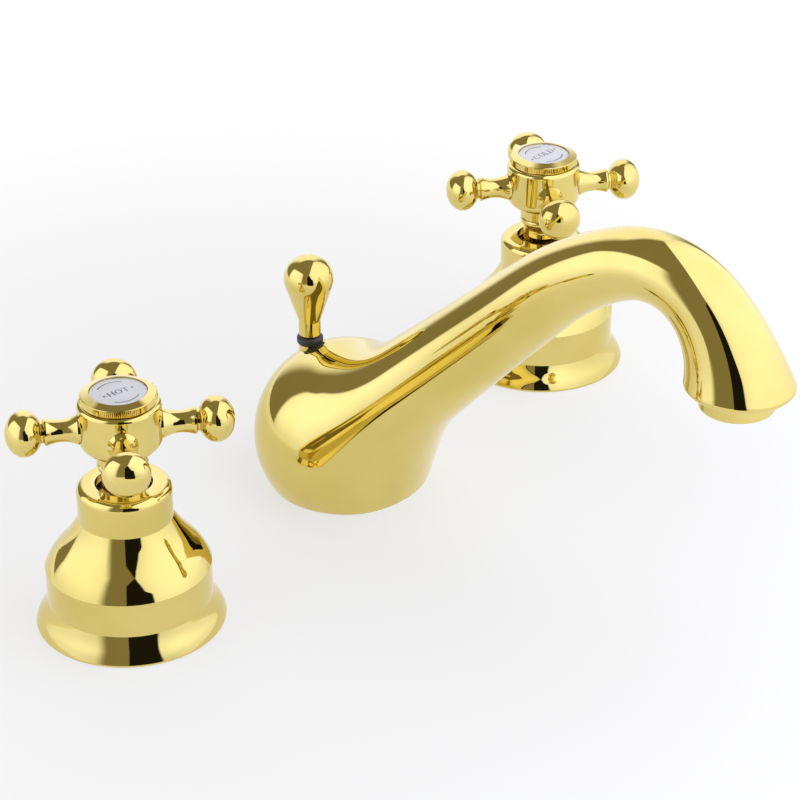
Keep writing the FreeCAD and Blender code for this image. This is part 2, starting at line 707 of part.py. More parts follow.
def tee_fitting():
    top = BLOCK_TOP
    bottom = LINK_HEIGHT - LINK_RADIUS - TEE_FLOOR
    reach = TEE_RADIUS + LINK_REACH
    body = cylinder(TEE_RADIUS, bottom, top)
    body = body.fuse(level_cylinder(LINK_THREAD_RADIUS, -reach, reach, LINK_HEIGHT))
    seat = shank_bottom() - TEE_SEAL_THICKNESS
    socket = cylinder(SHANK_RADIUS + THREAD_CLEARANCE, seat, top)
    mixing_bore = cylinder(SHANK_BORE_RADIUS, LINK_HEIGHT - LINK_BORE_RADIUS, seat)
    branches = [placed(link_socket(reach), turn=turn) for turn in (0, 180)]
    return body.cut([socket, mixing_bore] + branches)


def tee_seal():
    return ring(SHANK_BORE_RADIUS, SHANK_RADIUS, shank_bottom() - TEE_SEAL_THICKNESS, shank_bottom())


def link_mouths():
    """Distance along +X of the two tube connections of one link: at the tee and at the valve."""
    return TEE_RADIUS + LINK_REACH, LINK_END


def link_tube():
    at_tee, at_valve = link_mouths()
    start = at_tee - LINK_INSERTION
    end = at_valve + LINK_INSERTION
    tube = level_cylinder(LINK_RADIUS, start, end, LINK_HEIGHT)
    return tube.cut(level_cylinder(LINK_BORE_RADIUS, start, end, LINK_HEIGHT))


def compression_nut():
    """Nut along +X whose connection mouth is at X = 0."""
    top = OLIVE_LENGTH + SEAT_CLEARANCE + LINK_NUT_WALL
    nut = hexagon(LINK_NUT_FLATS, -LINK_NUT_ENGAGEMENT, top)
    thread = cylinder(LINK_THREAD_RADIUS + THREAD_CLEARANCE, -LINK_NUT_ENGAGEMENT, 0)
    olive_room = cylinder(LINK_RADIUS + OLIVE_THICKNESS + SEAT_CLEARANCE, 0, top - LINK_NUT_WALL)
    tube_hole = cylinder(LINK_RADIUS + SEAT_CLEARANCE, 0, top)
    return toward_x(nut.cut([thread, olive_room, tube_hole]))


def compression_olive():
    """Barrel-shaped ring along +X whose face is at X = 0."""
    inner = LINK_RADIUS + SEAT_CLEARANCE
    outer = LINK_RADIUS + OLIVE_THICKNESS
    edge = inner + OLIVE_THICKNESS / 2
    outline = Outline(inner, 0).line(edge, 0).arc((outer, OLIVE_LENGTH / 2), (edge, OLIVE_LENGTH))
    return toward_x(outline.line(inner, OLIVE_LENGTH).turned())


def at_link_mouths(piece):
    """Copies of a connection piece at the four tube ends."""
    at_tee, at_valve = link_mouths()
    copies = []
    for turn in (0, 180):
        for mouth, facing in ((at_tee, 0), (at_valve, 180)):
            copy = placed(piece, x=mouth, turn=facing)
            copy.rotate(ORIGIN, Z_AXIS, turn)
            copy.translate(FreeCAD.Vector(0, 0, LINK_HEIGHT))
            copies.append(copy)
    return Part.makeCompound(copies)


def valve_body():
    """Through-deck body whose outlet points along +X."""
    outline = Outline(0, BLOCK_BOTTOM - INLET_LENGTH)
    outline.line(INLET_THREAD_RADIUS - INLET_CHAMFER, BLOCK_BOTTOM - INLET_LENGTH)
    outline.line(INLET_THREAD_RADIUS, BLOCK_BOTTOM - INLET_LENGTH + INLET_CHAMFER)
    outline.line(INLET_THREAD_RADIUS, BLOCK_BOTTOM).line(BLOCK_RADIUS - INLET_CHAMFER, BLOCK_BOTTOM)
    outline.line(BLOCK_RADIUS, BLOCK_BOTTOM + INLET_CHAMFER).line(BLOCK_RADIUS, BLOCK_TOP - INLET_CHAMFER)
    outline.line(BLOCK_RADIUS - INLET_CHAMFER, BLOCK_TOP).line(BARREL_RADIUS, BLOCK_TOP)
    outline.thread(-THREAD_PITCH)
    body = outline.line(BARREL_RADIUS, BARREL_TOP).line(0, BARREL_TOP).turned()
    flats = []
    for side in (-1, 1):
        centre = side * (BLOCK_FLATS / 2 + BLOCK_RADIUS)
        flats.append(centred_box(4 * BLOCK_RADIUS, 2 * BLOCK_RADIUS, BLOCK_BOTTOM, BLOCK_TOP, y=centre))
    reach = VALVE_SPACING - LINK_END
    body = body.cut(flats).fuse(level_cylinder(LINK_THREAD_RADIUS, 0, reach, LINK_HEIGHT))
    bore = cylinder(BARREL_BORE_RADIUS, SEAT_HEIGHT, BARREL_TOP)
    inlet = cylinder(INLET_BORE_RADIUS, BLOCK_BOTTOM - INLET_LENGTH, SEAT_HEIGHT)
    chamber = cylinder(
        BARREL_BORE_RADIUS + CHAMBER_DEPTH,
        LINK_HEIGHT - CHAMBER_HEIGHT / 2,
        LINK_HEIGHT + CHAMBER_HEIGHT / 2,
    )
    return body.cut([bore, inlet, chamber, link_socket(reach)])


def seat_seal():
    outer = BARREL_BORE_RADIUS - SEAT_CLEARANCE
    return ring(outer - SEAT_SEAL_WIDTH, outer, SEAT_HEIGHT, FIXED_DISC_HEIGHT)


def ceramic_disc(bottom, port_angle):
    top = bottom + DISC_THICKNESS
    disc = cylinder(DISC_RADIUS, bottom, top)
    ports = [cylinder(DISC_PORT_RADIUS, bottom, top, x=side * DISC_PORT_OFFSET) for side in (-1, 1)]
    return placed(disc.cut(ports), turn=port_angle)


def cartridge_sleeve():
    seal_room = STEM_SEAL_COUNT * 2 * (STEM_SEAL_SECTION_RADIUS + SEAT_CLEARANCE)
    seal_bore = STEM_SEAL_RADIUS + STEM_SEAL_SECTION_RADIUS + SEAT_CLEARANCE
    outline = Outline(CUP_RADIUS, FIXED_DISC_HEIGHT).line(SLEEVE_RADIUS, FIXED_DISC_HEIGHT)
    outline.line(SLEEVE_RADIUS, SLEEVE_TOP).line(seal_bore, SLEEVE_TOP)
    outline.line(seal_bore, SLEEVE_TOP - seal_room).line(STEM_BORE_RADIUS, SLEEVE_TOP - seal_room)
    outline.line(STEM_BORE_RADIUS, SLEEVE_SHOULDER)
    sleeve = outline.line(CUP_RADIUS, SLEEVE_SHOULDER).turned()
    windows = centred_box(WINDOW_WIDTH, 4 * SLEEVE_RADIUS, FOOT_HEIGHT, FOOT_HEIGHT + WINDOW_HEIGHT)
    return sleeve.cut(windows)


def stem_seals():
    seals = []
    for level in range(STEM_SEAL_COUNT):
        height = SLEEVE_TOP - (2 * level + 1) * (STEM_SEAL_SECTION_RADIUS + SEAT_CLEARANCE)
        centre = FreeCAD.Vector(0, 0, height)
        seals.append(Part.makeTorus(STEM_SEAL_RADIUS, STEM_SEAL_SECTION_RADIUS, centre, Z_AXIS))
    return seals


def gland_nut():
    thread = cylinder(SLEEVE_RADIUS + SEAT_CLEARANCE - THREAD_CLEARANCE, SLEEVE_TOP, BARREL_TOP)
    head = hexagon(GLAND_HEAD_FLATS, BARREL_TOP, BARREL_TOP + GLAND_HEAD_HEIGHT)
    bore = cylinder(STEM_BORE_RADIUS, SLEEVE_TOP, BARREL_TOP + GLAND_HEAD_HEIGHT)
    return thread.fuse(head).cut(bore)


def stem():
    """Driving foot under the sleeve, round shaft through it and a square that carries the handle."""
    foot_top = FOOT_HEIGHT + STEM_FOOT_HEIGHT
    foot = cylinder(DISC_RADIUS, FOOT_HEIGHT, foot_top)
    foot = foot.common(centred_box(4 * DISC_RADIUS, STEM_FOOT_WIDTH, FOOT_HEIGHT, foot_top))
    shaft = cylinder(STEM_RADIUS, FOOT_HEIGHT, HUB_BASE)
    square = centred_box(STEM_SQUARE, STEM_SQUARE, HUB_BASE, STEM_TOP)
    screw_hole = cylinder(SCREW_RADIUS + THREAD_CLEARANCE, POCKET_FLOOR - SCREW_LENGTH, STEM_TOP)
    return foot.fuse([shaft, square]).cut(screw_hole)


def bell_cover():
    lip_radius = BELL_BAND_RADIUS + BELL_LIP_FLARE
    thread_radius = BARREL_RADIUS + THREAD_CLEARANCE
    thread_base = BELL_CEILING - BELL_THREAD_LENGTH
    cavity_radius = BELL_BAND_RADIUS - BELL_WALL
    seal_seat = bell_seal_radius() + SEAT_CLEARANCE
    edge = BELL_TOP_EDGE_RADIUS
    outline = Outline(seal_seat, 0).line(lip_radius - BELL_FOOT_ROUND, 0)
    outline.round_about((lip_radius - BELL_FOOT_ROUND, BELL_FOOT_ROUND), (lip_radius, BELL_FOOT_ROUND))
    outline.line(lip_radius, BELL_LIP_EDGE)
    outline.ogee(BELL_BAND_RADIUS, BELL_LIP_HEIGHT, BELL_LIP_SHARE, BELL_LIP_LEAN)
    outline.line(BELL_BAND_RADIUS, BELL_SHOULDER_BASE)
    outline.ogee(BELL_NECK_RADIUS, BELL_SHOULDER_TOP, BELL_SHOULDER_SHARE, BELL_SHOULDER_LEAN)
    outline.line(BELL_NECK_RADIUS, BELL_HEIGHT - edge)
    flat_radius = BELL_NECK_RADIUS - edge
    outline.round_about((flat_radius, BELL_HEIGHT - edge), (flat_radius, BELL_HEIGHT))
    outline.line(BELL_HOLE_RADIUS, BELL_HEIGHT).line(BELL_HOLE_RADIUS, BELL_CEILING)
    outline.line(thread_radius, BELL_CEILING).line(thread_radius, thread_base)
    outline.line(cavity_radius, BELL_SHOULDER_BASE).line(cavity_radius, SEAL_THICKNESS)
    return outline.line(seal_seat, SEAL_THICKNESS).turned()


def bell_seal_radius():
    return BELL_BAND_RADIUS + BELL_LIP_FLARE - SEAL_RIM - SEAT_CLEARANCE


def bell_seal():
    outer = bell_seal_radius()
    return ring(BELL_BAND_RADIUS - BELL_WALL + SEAT_CLEARANCE, outer, 0, SEAL_THICKNESS)


def handle_collar():
    bead = HUB_BASE - COLLAR_BEAD_DROP
    bore = STEM_RADIUS + WASHER_CLEARANCE
    straight_top = COLLAR_BASE + COLLAR_HEIGHT / 2
    outline = Outline(bore, COLLAR_BASE).line(COLLAR_RADIUS - COLLAR_EDGE_ROUND, COLLAR_BASE)
    outline.round_about(
        (COLLAR_RADIUS - COLLAR_EDGE_ROUND, COLLAR_BASE + COLLAR_EDGE_ROUND),
        (COLLAR_RADIUS, COLLAR_BASE + COLLAR_EDGE_ROUND),
    )
    outline.line(COLLAR_RADIUS, straight_top).ogee(COLLAR_BEAD_RADIUS, bead, COLLAR_FLARE_SHARE)
    top_radius = COLLAR_BEAD_RADIUS - COLLAR_BEAD_DROP
    outline.round_about((top_radius, bead), (top_radius, HUB_BASE))
    return outline.line(bore, HUB_BASE).turned()


def handle_hub():
    neck_top = HUB_BASE + HUB_NECK_HEIGHT
    foot = HUB_FOOT_ROUND
    edge = HUB_EDGE_ROUND
    outline = Outline(0, HUB_BASE).line(HUB_NECK_RADIUS, HUB_BASE).line(HUB_NECK_RADIUS, neck_top)
    outline.line(HUB_RADIUS - foot, neck_top)
    outline.round_about((HUB_RADIUS - foot, neck_top + foot), (HUB_RADIUS, neck_top + foot))
    outline.line(HUB_RADIUS, HUB_TOP - edge)
    outline.round_about((HUB_RADIUS - edge, HUB_TOP - edge), (HUB_RADIUS - edge, HUB_TOP)).line(0, HUB_TOP)
    hub = outline.turned()
    square = STEM_SQUARE + 2 * SEAT_CLEARANCE
    arm_hole = level_cylinder(
        ARM_SPIGOT_RADIUS + THREAD_CLEARANCE,
        HUB_RADIUS - ARM_SPIGOT_LENGTH - SEAT_CLEARANCE,
        2 * HUB_RADIUS,
        ARM_HEIGHT,
    )
    hollows = [
        centred_box(square, square, HUB_BASE, STEM_TOP + SEAT_CLEARANCE),
        cylinder(SCREW_RADIUS + WASHER_CLEARANCE, STEM_TOP, POCKET_FLOOR),
        cylinder(SCREW_POCKET_RADIUS, POCKET_FLOOR, HUB_TOP),
        cylinder(RING_THREAD_RADIUS + THREAD_CLEARANCE, HUB_TOP - HUB_CAVITY_DEPTH, HUB_TOP),
    ]
    hollows += [placed(arm_hole, turn=angle) for angle in arm_angles()]
    return hub.cut(hollows)


def arm_angles():
    return [HANDLE_REST_ANGLE + 360 / ARM_COUNT * arm for arm in range(ARM_COUNT)]


def handle_arm():
    """One turned arm along +X: spigot, waisted shank, sharp collar and flattened ball."""
    collar = HUB_RADIUS + ARM_COLLAR_REACH
    ball = HUB_RADIUS + BALL_REACH
    squeeze = BALL_HALF_LENGTH / BALL_RADIUS
    neck_end = ball - BALL_HALF_LENGTH * math.sqrt(1 - (ARM_NECK_RADIUS / BALL_RADIUS) ** 2)
    root = HUB_RADIUS - ARM_SPIGOT_LENGTH / 2
    outline = Outline(0, root).line(ARM_ROOT_RADIUS, root).line(ARM_ROOT_RADIUS, HUB_RADIUS)
    outline.arc((ARM_WAIST_RADIUS, (HUB_RADIUS + collar) / 2), (ARM_COLLAR_RADIUS, collar))
    outline.line(ARM_COLLAR_RADIUS, collar + ARM_COLLAR_WIDTH)
    outline.line(ARM_NECK_RADIUS, collar + 2 * ARM_COLLAR_WIDTH)
    inside_ball = neck_end + BALL_HALF_LENGTH / 4
    shank = outline.line(ARM_NECK_RADIUS, inside_ball).line(0, inside_ball).turned()
    oblate = FreeCAD.Matrix()
    oblate.scale(1, 1, squeeze)
    knob = Part.makeSphere(BALL_RADIUS).transformGeometry(oblate)
    knob.translate(FreeCAD.Vector(0, 0, ball))
    arm = toward_x(shank.fuse(knob))
    hub_side = cylinder(HUB_RADIUS + SEAT_CLEARANCE / 2, -2 * BALL_RADIUS, 2 * BALL_RADIUS)
    spigot_end = HUB_RADIUS + ARM_COLLAR_WIDTH
    spigot = level_cylinder(ARM_SPIGOT_RADIUS, HUB_RADIUS - ARM_SPIGOT_LENGTH, spigot_end, 0)
    arm = arm.cut(hub_side).fuse(spigot)
    arm.translate(FreeCAD.Vector(0, 0, ARM_HEIGHT))
    return arm


def handle_screw():
    shank = cylinder(SCREW_RADIUS, POCKET_FLOOR - SCREW_LENGTH, POCKET_FLOOR)
    head = cylinder(SCREW_HEAD_RADIUS, POCKET_FLOOR, POCKET_FLOOR + SCREW_HEAD_HEIGHT)
    slot_top = POCKET_FLOOR + SCREW_HEAD_HEIGHT
    slot = centred_box(4 * SCREW_HEAD_RADIUS, SCREW_SLOT_WIDTH, slot_top - SCREW_SLOT_DEPTH, slot_top)
    return shank.fuse(head).cut(slot)


def knurled_band():
    points = []
    for tooth in range(2 * KNURL_COUNT + 1):
        radius = RING_RADIUS - KNURL_DEPTH * (tooth % 2)
        angle = math.pi * tooth / KNURL_COUNT
        points.append(FreeCAD.Vector(radius * math.cos(angle), radius * math.sin(angle), RING_KNURL_BASE))
    return Part.Face(Part.makePolygon(points)).extrude(Z_AXIS * RING_KNURL_HEIGHT)


def index_ring():
    plain = RING_RADIUS - RING_STEP
    crest = RING_RADIUS - KNURL_DEPTH
    lip = INDEX_SEAT_RADIUS
    floor_top = RING_BASE + RING_FLOOR
    edge = RING_EDGE_ROUND
    run = crest - edge - lip
    slope = math.atan2(RING_CROWN, run) - math.asin(edge / math.hypot(run, RING_CROWN))
    touch = (crest - edge + edge * math.sin(slope), RING_KNURL_TOP + edge * math.cos(slope))
    outline = Outline(SCREW_POCKET_RADIUS, RING_BASE - RING_THREAD_LENGTH)
    outline.line(RING_THREAD_RADIUS, RING_BASE - RING_THREAD_LENGTH).line(RING_THREAD_RADIUS, RING_BASE)
    outline.line(plain, RING_BASE).line(plain, RING_KNURL_TOP)
    outline.line(crest, RING_KNURL_TOP).round_about((crest - edge, RING_KNURL_TOP), touch).line(lip, RING_TOP)
    outline.line(lip, floor_top).line(SCREW_POCKET_RADIUS, floor_top)
    return outline.turned().fuse(knurled_band().cut(cylinder(plain, RING_KNURL_BASE, RING_KNURL_TOP)))


def index_disc():
    bottom = RING_BASE + RING_FLOOR
    outline = Outline(0, bottom).line(INDEX_RADIUS, bottom).line(INDEX_RADIUS, INDEX_TOP - INDEX_CROWN)
    crown_radius = (INDEX_RADIUS ** 2 + INDEX_CROWN ** 2) / (2 * INDEX_CROWN)
    outline.round_about((0, INDEX_TOP - crown_radius), (0, INDEX_TOP))
    return outline.turned()


def spout_nodes():
    link = link_tube()
    return {
        "spout_body": spout_body(),
        "spout_base_seal": base_seal(),
        "spout_shank": spout_shank(),
        "spout_rubber_washer": horseshoe_washer(*rubber_washer_span()),
        "spout_steel_washer": horseshoe_washer(*steel_washer_span()),
        "spout_lock_nut": lock_nut(SPOUT_NUT_FLATS, SHANK_RADIUS),
        "aerator_housing": aerator_housing(),
        "aerator_insert": aerator_insert(),
        "aerator_seal": aerator_seal(),
        "lift_rod": lift_rod(),
        "lift_knob": lift_knob(),
        "lift_bumper_ring": lift_bumper(),
        "lift_rod_guide": rod_guide(),
        "tee_fitting": tee_fitting(),
        "tee_seal": tee_seal(),
        "hot_link_tube": placed(link, turn=180),
        "cold_link_tube": link,
        "link_compression_nuts": at_link_mouths(compression_nut()),
        "link_compression_olives": at_link_mouths(compression_olive()),
    }


def valve_nodes(side, x, turn):
    """Pieces of one valve and its handle. The turn points the valve's outlet at the spout."""
    pieces = {
        "valve_body": placed(valve_body(), x, turn),
        "bell_cover": placed(bell_cover(), x),
        "bell_seal": placed(bell_seal(), x),
        "seat_seal": placed(seat_seal(), x),
        "fixed_disc": placed(ceramic_disc(FIXED_DISC_HEIGHT, 0), x),
        "moving_disc": placed(ceramic_disc(MOVING_DISC_HEIGHT, 90), x),
        "cartridge_sleeve": placed(cartridge_sleeve(), x),
        "gland_nut": placed(gland_nut(), x),
        "stem": placed(stem(), x),
        "handle_collar": placed(handle_collar(), x),
        "handle_hub": placed(handle_hub(), x),
        "handle_screw": placed(handle_screw(), x),
        "index_ring": placed(index_ring(), x),
        "index_disc": placed(index_disc(), x),
    }
    arm = handle_arm()
    for number, angle in enumerate(arm_angles(), start=1):
        pieces[f"handle_arm_{number}"] = placed(arm, x, angle)
    return {f"{side}_{name}": shape for name, shape in pieces.items()}


def shared_valve_nodes():
    """Identical fixings of the two valves, each kind in one node."""
    bore = BARREL_RADIUS + WASHER_CLEARANCE
    fixings = {
        "valve_rubber_washers": [ring(bore, VALVE_WASHER_RADIUS, *rubber_washer_span())],
        "valve_steel_washers": [ring(bore, VALVE_WASHER_RADIUS, *steel_washer_span())],
        "valve_lock_nuts": [lock_nut(VALVE_NUT_FLATS, BARREL_RADIUS)],
        "stem_seal_rings": stem_seals(),
    }
    nodes = {}
    for name, pieces in fixings.items():
        copies = [placed(piece, x) for x in (-VALVE_SPACING, VALVE_SPACING) for piece in pieces]
        nodes[name] = Part.makeCompound(copies)
    return nodes


def main():
    nodes = spout_nodes()
    nodes.update(valve_nodes("hot", -VALVE_SPACING, 0))
    nodes.update(valve_nodes("cold", VALVE_SPACING, 180))
    nodes.update(shared_valve_nodes())
    os.makedirs("parts", exist_ok=True)
    for name, shape in nodes.items():
        shape.exportStep(f"parts/{name}.step")


main()
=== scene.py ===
import json
import math

import bmesh
import bpy
import numpy as np
from mathutils import Matrix, Vector

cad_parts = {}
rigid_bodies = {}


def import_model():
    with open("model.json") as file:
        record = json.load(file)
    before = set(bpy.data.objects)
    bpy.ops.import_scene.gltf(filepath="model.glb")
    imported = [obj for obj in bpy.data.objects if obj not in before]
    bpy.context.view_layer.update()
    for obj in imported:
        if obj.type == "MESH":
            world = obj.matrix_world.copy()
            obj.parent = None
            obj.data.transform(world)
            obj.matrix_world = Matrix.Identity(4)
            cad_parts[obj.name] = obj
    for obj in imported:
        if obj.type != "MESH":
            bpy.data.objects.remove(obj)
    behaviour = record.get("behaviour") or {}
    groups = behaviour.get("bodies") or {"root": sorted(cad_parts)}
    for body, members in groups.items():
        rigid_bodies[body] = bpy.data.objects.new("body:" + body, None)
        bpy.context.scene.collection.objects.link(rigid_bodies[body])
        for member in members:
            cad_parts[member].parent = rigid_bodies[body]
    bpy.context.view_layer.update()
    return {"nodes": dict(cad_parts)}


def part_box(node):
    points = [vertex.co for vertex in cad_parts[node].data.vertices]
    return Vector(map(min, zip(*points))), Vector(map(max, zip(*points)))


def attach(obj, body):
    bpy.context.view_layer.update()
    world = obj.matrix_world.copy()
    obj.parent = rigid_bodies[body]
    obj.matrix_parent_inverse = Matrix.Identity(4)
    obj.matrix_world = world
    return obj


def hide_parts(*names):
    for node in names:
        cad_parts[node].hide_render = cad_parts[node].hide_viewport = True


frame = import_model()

MM = 0.001
FULL_TURN = 2 * math.pi


def box_mm(node):
    """Lowest and highest corner of a node at rest, in millimetres."""
    return tuple(np.array(corner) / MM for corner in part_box(node))


# Camera fitted to the photograph, in degrees and millimetres, with its focal length in photograph pixels
PHOTO_PIXELS = 800
SENSOR_WIDTH = 36.0
FOCAL_PIXELS = 2812.6
CAMERA_AZIMUTH = -51.536
CAMERA_PITCH = 29.214
CAMERA_ROLL = -0.377
CAMERA_TARGET = (46.109, 17.201, 0.0)
CAMERA_DISTANCE = 917.5
CAMERA_CLIP_START = 50.0
CAMERA_CLIP_END = 50000.0

# Light tent around the faucet, in a dim room. A panel's corners run along its foot and back along its head,
# as millimetres to the camera's right, towards the camera and up. It is dimmed at its foot and its sides to
# the levels given, and its soft share fades out at its sides and its head.
ROOM_RADIANCE = (0.28, 0.25, 0.165)
STUDIO_PANELS = {
    "back_wall": {
        "corners": ((330, -649, 0), (-490, -558, 0), (-790, -526, 1200), (640, -678, 1200)),
        "radiance": (1.32, 1.36, 1.6),
        "foot_level": 0.9,
        "side_level": 1.0,
        "soft": 0.26,
    },
    "left_softbox": {
        "corners": ((-165, 308, 0), (-513, -126, 0), (-513, -126, 405), (-165, 308, 395)),
        "radiance": (1.48, 1.54, 1.82),
        "foot_level": 0.74,
        "side_level": 0.84,
        "soft": 0.12,
    },
    "right_softbox": {
        "corners": ((200, 420, 0), (430, -480, 0), (90, -155, 405), (20, 400, 405)),
        "radiance": (1.48, 1.54, 1.82),
        "foot_level": 0.74,
        "side_level": 0.78,
        "soft": 0.04,
    },
    "black_card": {
        "corners": ((-65, 633, 0), (141, 339, 0), (141, 339, 500), (-65, 633, 500)),
        "radiance": (0.013, 0.012, 0.011),
        "foot_level": 1.0,
        "side_level": 1.0,
        "soft": 0.06,
    },
}
PANEL_CELLS = 16
FOOT_DIMMING_SHARE = 0.35
SIDE_DIMMING_SHARE = 0.3

# Floor, in millimetres. Its lift is the strength added where it is seen, and grows away from the faucet:
# the lower lift near the faucet is painted shade on the floor around it, which the metal also reflects.
FLOOR_HALF_SIZE = 3000.0
FLOOR_DROP = 0.05
FLOOR_COLOUR = (0.32, 0.316, 0.297)
FLOOR_LIFT_NEAR_PAINTED_SHADE = 0.62
FLOOR_LIFT_FAR = 0.91
FLOOR_NEAR_REACH = 60.0
FLOOR_FAR_REACH = 500.0

# Finishes: linear colours, patterns in cycles per metre, heights in millimetres. Over a pattern's range the
# finish goes from its first value to its second.
GOLD_DEEP = (0.715, 0.575, 0.17)
GOLD_PALE = (0.775, 0.63, 0.212)
GOLD_WORN = (0.84, 0.72, 0.34)
GOLD_TONE = {"scale": 38.0, "detail": 3.0}
GOLD_TONE_RANGE = (0.3, 0.7)
GOLD_SMEARS = {"scale": 60.0, "detail": 5.0, "stretch": (1.0, 1.0, 2.5)}
GOLD_SMEAR_RANGE = (0.45, 0.75)
GOLD_ROUGHNESS = (0.022, 0.05)
GOLD_WEAR = {"low": 0.53, "high": 0.62, "most": 0.5}
GOLD_WEAR_ROUGHNESS = 0.12
GOLD_RIPPLES = {"scale": 160.0, "detail": 1.0}
GOLD_RIPPLE_HEIGHT = 0.04
GOLD_RIPPLE_STRENGTH = 0.05

TURNED_LINES = {"detail": 2.0, "stretch": (0.02, 0.02, 1.0)}
TURNED_LINE_ROUGHNESS = 0.08
TURNED_LINE_HEIGHT = 0.03
TURNED_LINE_STRENGTH = 0.25
TURNED_PATCHES = {"scale": 70.0, "detail": 4.0}
TURNED_PATCH_RANGE = (0.35, 0.7)
TURNED_DULLING = {"scale": 120.0, "detail": 4.0}
TURNED_DULLING_RANGE = (0.3, 0.75)
TURNED_WEAR = {"low": 0.52, "high": 0.6, "most": 0.6}
TURNED_WEAR_GAIN = 1.2
TURNED_WEAR_OFFSET = 0.05
TURNED_METALS = {
    "plain_brass": {
        "deep": (0.50, 0.36, 0.13), "pale": (0.68, 0.51, 0.22), "roughness": (0.24, 0.40),
        "line_scale": 9000.0,
    },
    "copper_tube": {
        "deep": (0.50, 0.24, 0.14), "pale": (0.74, 0.38, 0.25), "roughness": (0.22, 0.42),
        "line_scale": 1500.0,
    },
    "washer_steel": {
        "deep": (0.42, 0.42, 0.43), "pale": (0.60, 0.60, 0.61), "roughness": (0.26, 0.42),
        "line_scale": 9000.0,
    },
}

MOULDED_MOTTLE = {"scale": 110.0, "detail": 4.0}
MOULDED_GLOSS = {"scale": 240.0, "detail": 3.0}
MOULDED_RANGE = (0.3, 0.72)
MOULDED_WEAR = {"low": 0.53, "high": 0.62, "most": 0.35}
MOULDED_WEAR_GAIN = 1.15
MOULDED_WEAR_OFFSET = 0.02
MOULDED_GRAIN_DETAIL = 3.0
MOULDED_GRAIN_STRENGTH = 0.3
MOULDED_FINISHES = {
    "black_rubber": {
        "deep": (0.02, 0.02, 0.021), "pale": (0.04, 0.04, 0.041), "roughness": (0.36, 0.55),
        "grain_scale": 2600.0, "grain_height": 0.04, "coat": 0.0,
    },
    "white_plastic": {
        "deep": (0.70, 0.70, 0.68), "pale": (0.78, 0.78, 0.76), "roughness": (0.32, 0.5),
        "grain_scale": 1800.0, "grain_height": 0.02, "coat": 0.0,
    },
    "valve_ceramic": {
        "deep": (0.74, 0.73, 0.70), "pale": (0.82, 0.81, 0.78), "roughness": (0.14, 0.26),
        "grain_scale": 3000.0, "grain_height": 0.006, "coat": 0.0,
    },
    "index_enamel": {
        "deep": (0.635, 0.62, 0.58), "pale": (0.70, 0.685, 0.64), "roughness": (0.16, 0.3),
        "grain_scale": 900.0, "grain_height": 0.006, "coat": 0.4,
    },
    "index_ink": {
        "deep": (0.09, 0.09, 0.10), "pale": (0.15, 0.15, 0.16), "roughness": (0.4, 0.6),
        "grain_scale": 5000.0, "grain_height": 0.004, "coat": 0.0,
    },
}

# Spout's bulb and spine, in millimetres and degrees. A bend is its radius and the heading that it ends at.
# The bends are eased into each other, and the eased spine is drawn in to a share of its reach.
BULB_RADIUS = 29.29
BULB_SETBACK = 1.2
BULB_HEIGHT = 15.4
RISE_ANGLE = 44.0
RISE_LENGTH = 99.5
SPOUT_BENDS = ((88.0, 22.0), (24.6, -50.5), (41.7, -80.0))
SPINE_FOOT_HEIGHT = 16.0
SPINE_START = -40.0
SPINE_END = 206.0
SPINE_STEP = 0.25
SPINE_EASE = 7.0
SPINE_EASE_PASSES = 3
SPINE_REACH_SHARE = 0.9955

# Tube's radius at places along the spine, and the neck that joins it to the bulb. On each side the neck
# leaves the ball at its first place and meets the tube at its second. The ball's front there has the third
# number as a share of its depth.
TUBE_RADII = (
    (SPINE_START, 21.0), (19.9, 16.5), (42.8, 14.8), (69.65, 13.2), (RISE_LENGTH, 11.8), (116.4, 10.9),
    (133.29, 10.3), (148.85, 10.2), (164.42, 11.1), (175.15, 12.8), (185.89, 15.8), (193.89, 18.7),
    (SPINE_END, 23.2),
)
NECK_PROFILES = {"top": (17.0, 46.0, 1.0), "side": (9.0, 85.0, 1.0), "bottom": (4.0, 40.0, 0.6)}

# Spout's rim, around the aerator, in millimetres
AERATOR_LOW, AERATOR_HIGH = box_mm("aerator_housing")
AERATOR_DROP = 5.7
AERATOR_SOCKET_RADIUS = 10.2
AERATOR_SOCKET_DEPTH = 9.0
SPOUT_REACH = -(AERATOR_LOW[1] + AERATOR_HIGH[1]) / 2
RIM_HEIGHT = AERATOR_LOW[2] + AERATOR_DROP
RIM_ROUND = 1.4

# Spout's base and the seat of the lift rod's ring, in millimetres
BASE_LIP = 3.0
BASE_RECESS = 2.5
RING_LOW, RING_HIGH = box_mm("lift_bumper_ring")
RING_CLEARANCE = 0.45
GUIDE_CLEARANCE = 0.1
ROD_SETBACK = (RING_LOW[1] + RING_HIGH[1]) / 2
ROD_SEAT_HEIGHT = RING_LOW[2]
ROD_SEAT_RADIUS = RING_HIGH[0] + RING_CLEARANCE
GUIDE_BORE_RADIUS = box_mm("lift_rod_guide")[1][0] + GUIDE_CLEARANCE
GUIDE_BORE_FOOT = -5.0

# Where the ball's exact normals are set: millimetres from the rod's axis and from the ball, and the least
# cosine between a face's normal and the ball's
SEAT_SURROUND = 8.0
BALL_TOLERANCE = 0.04
OUTER_FACING = 0.9

# Spout's mesh, in millimetres and degrees
SPOUT_COLUMNS = 176
SEAT_COLUMNS = 96
POLAR_STEP = 3.0
POLAR_END = 120.0
RING_SPACING = 1.3
FLARE_START = 166.0
FLARE_RINGS = 20
RIM_ROUND_RINGS = 8
WALL_PROBE = 1.0
RIM_SEARCH_MARGIN = 1.0
RIM_SEARCH_HALVINGS = 40
SHARP_EDGE = 32.0

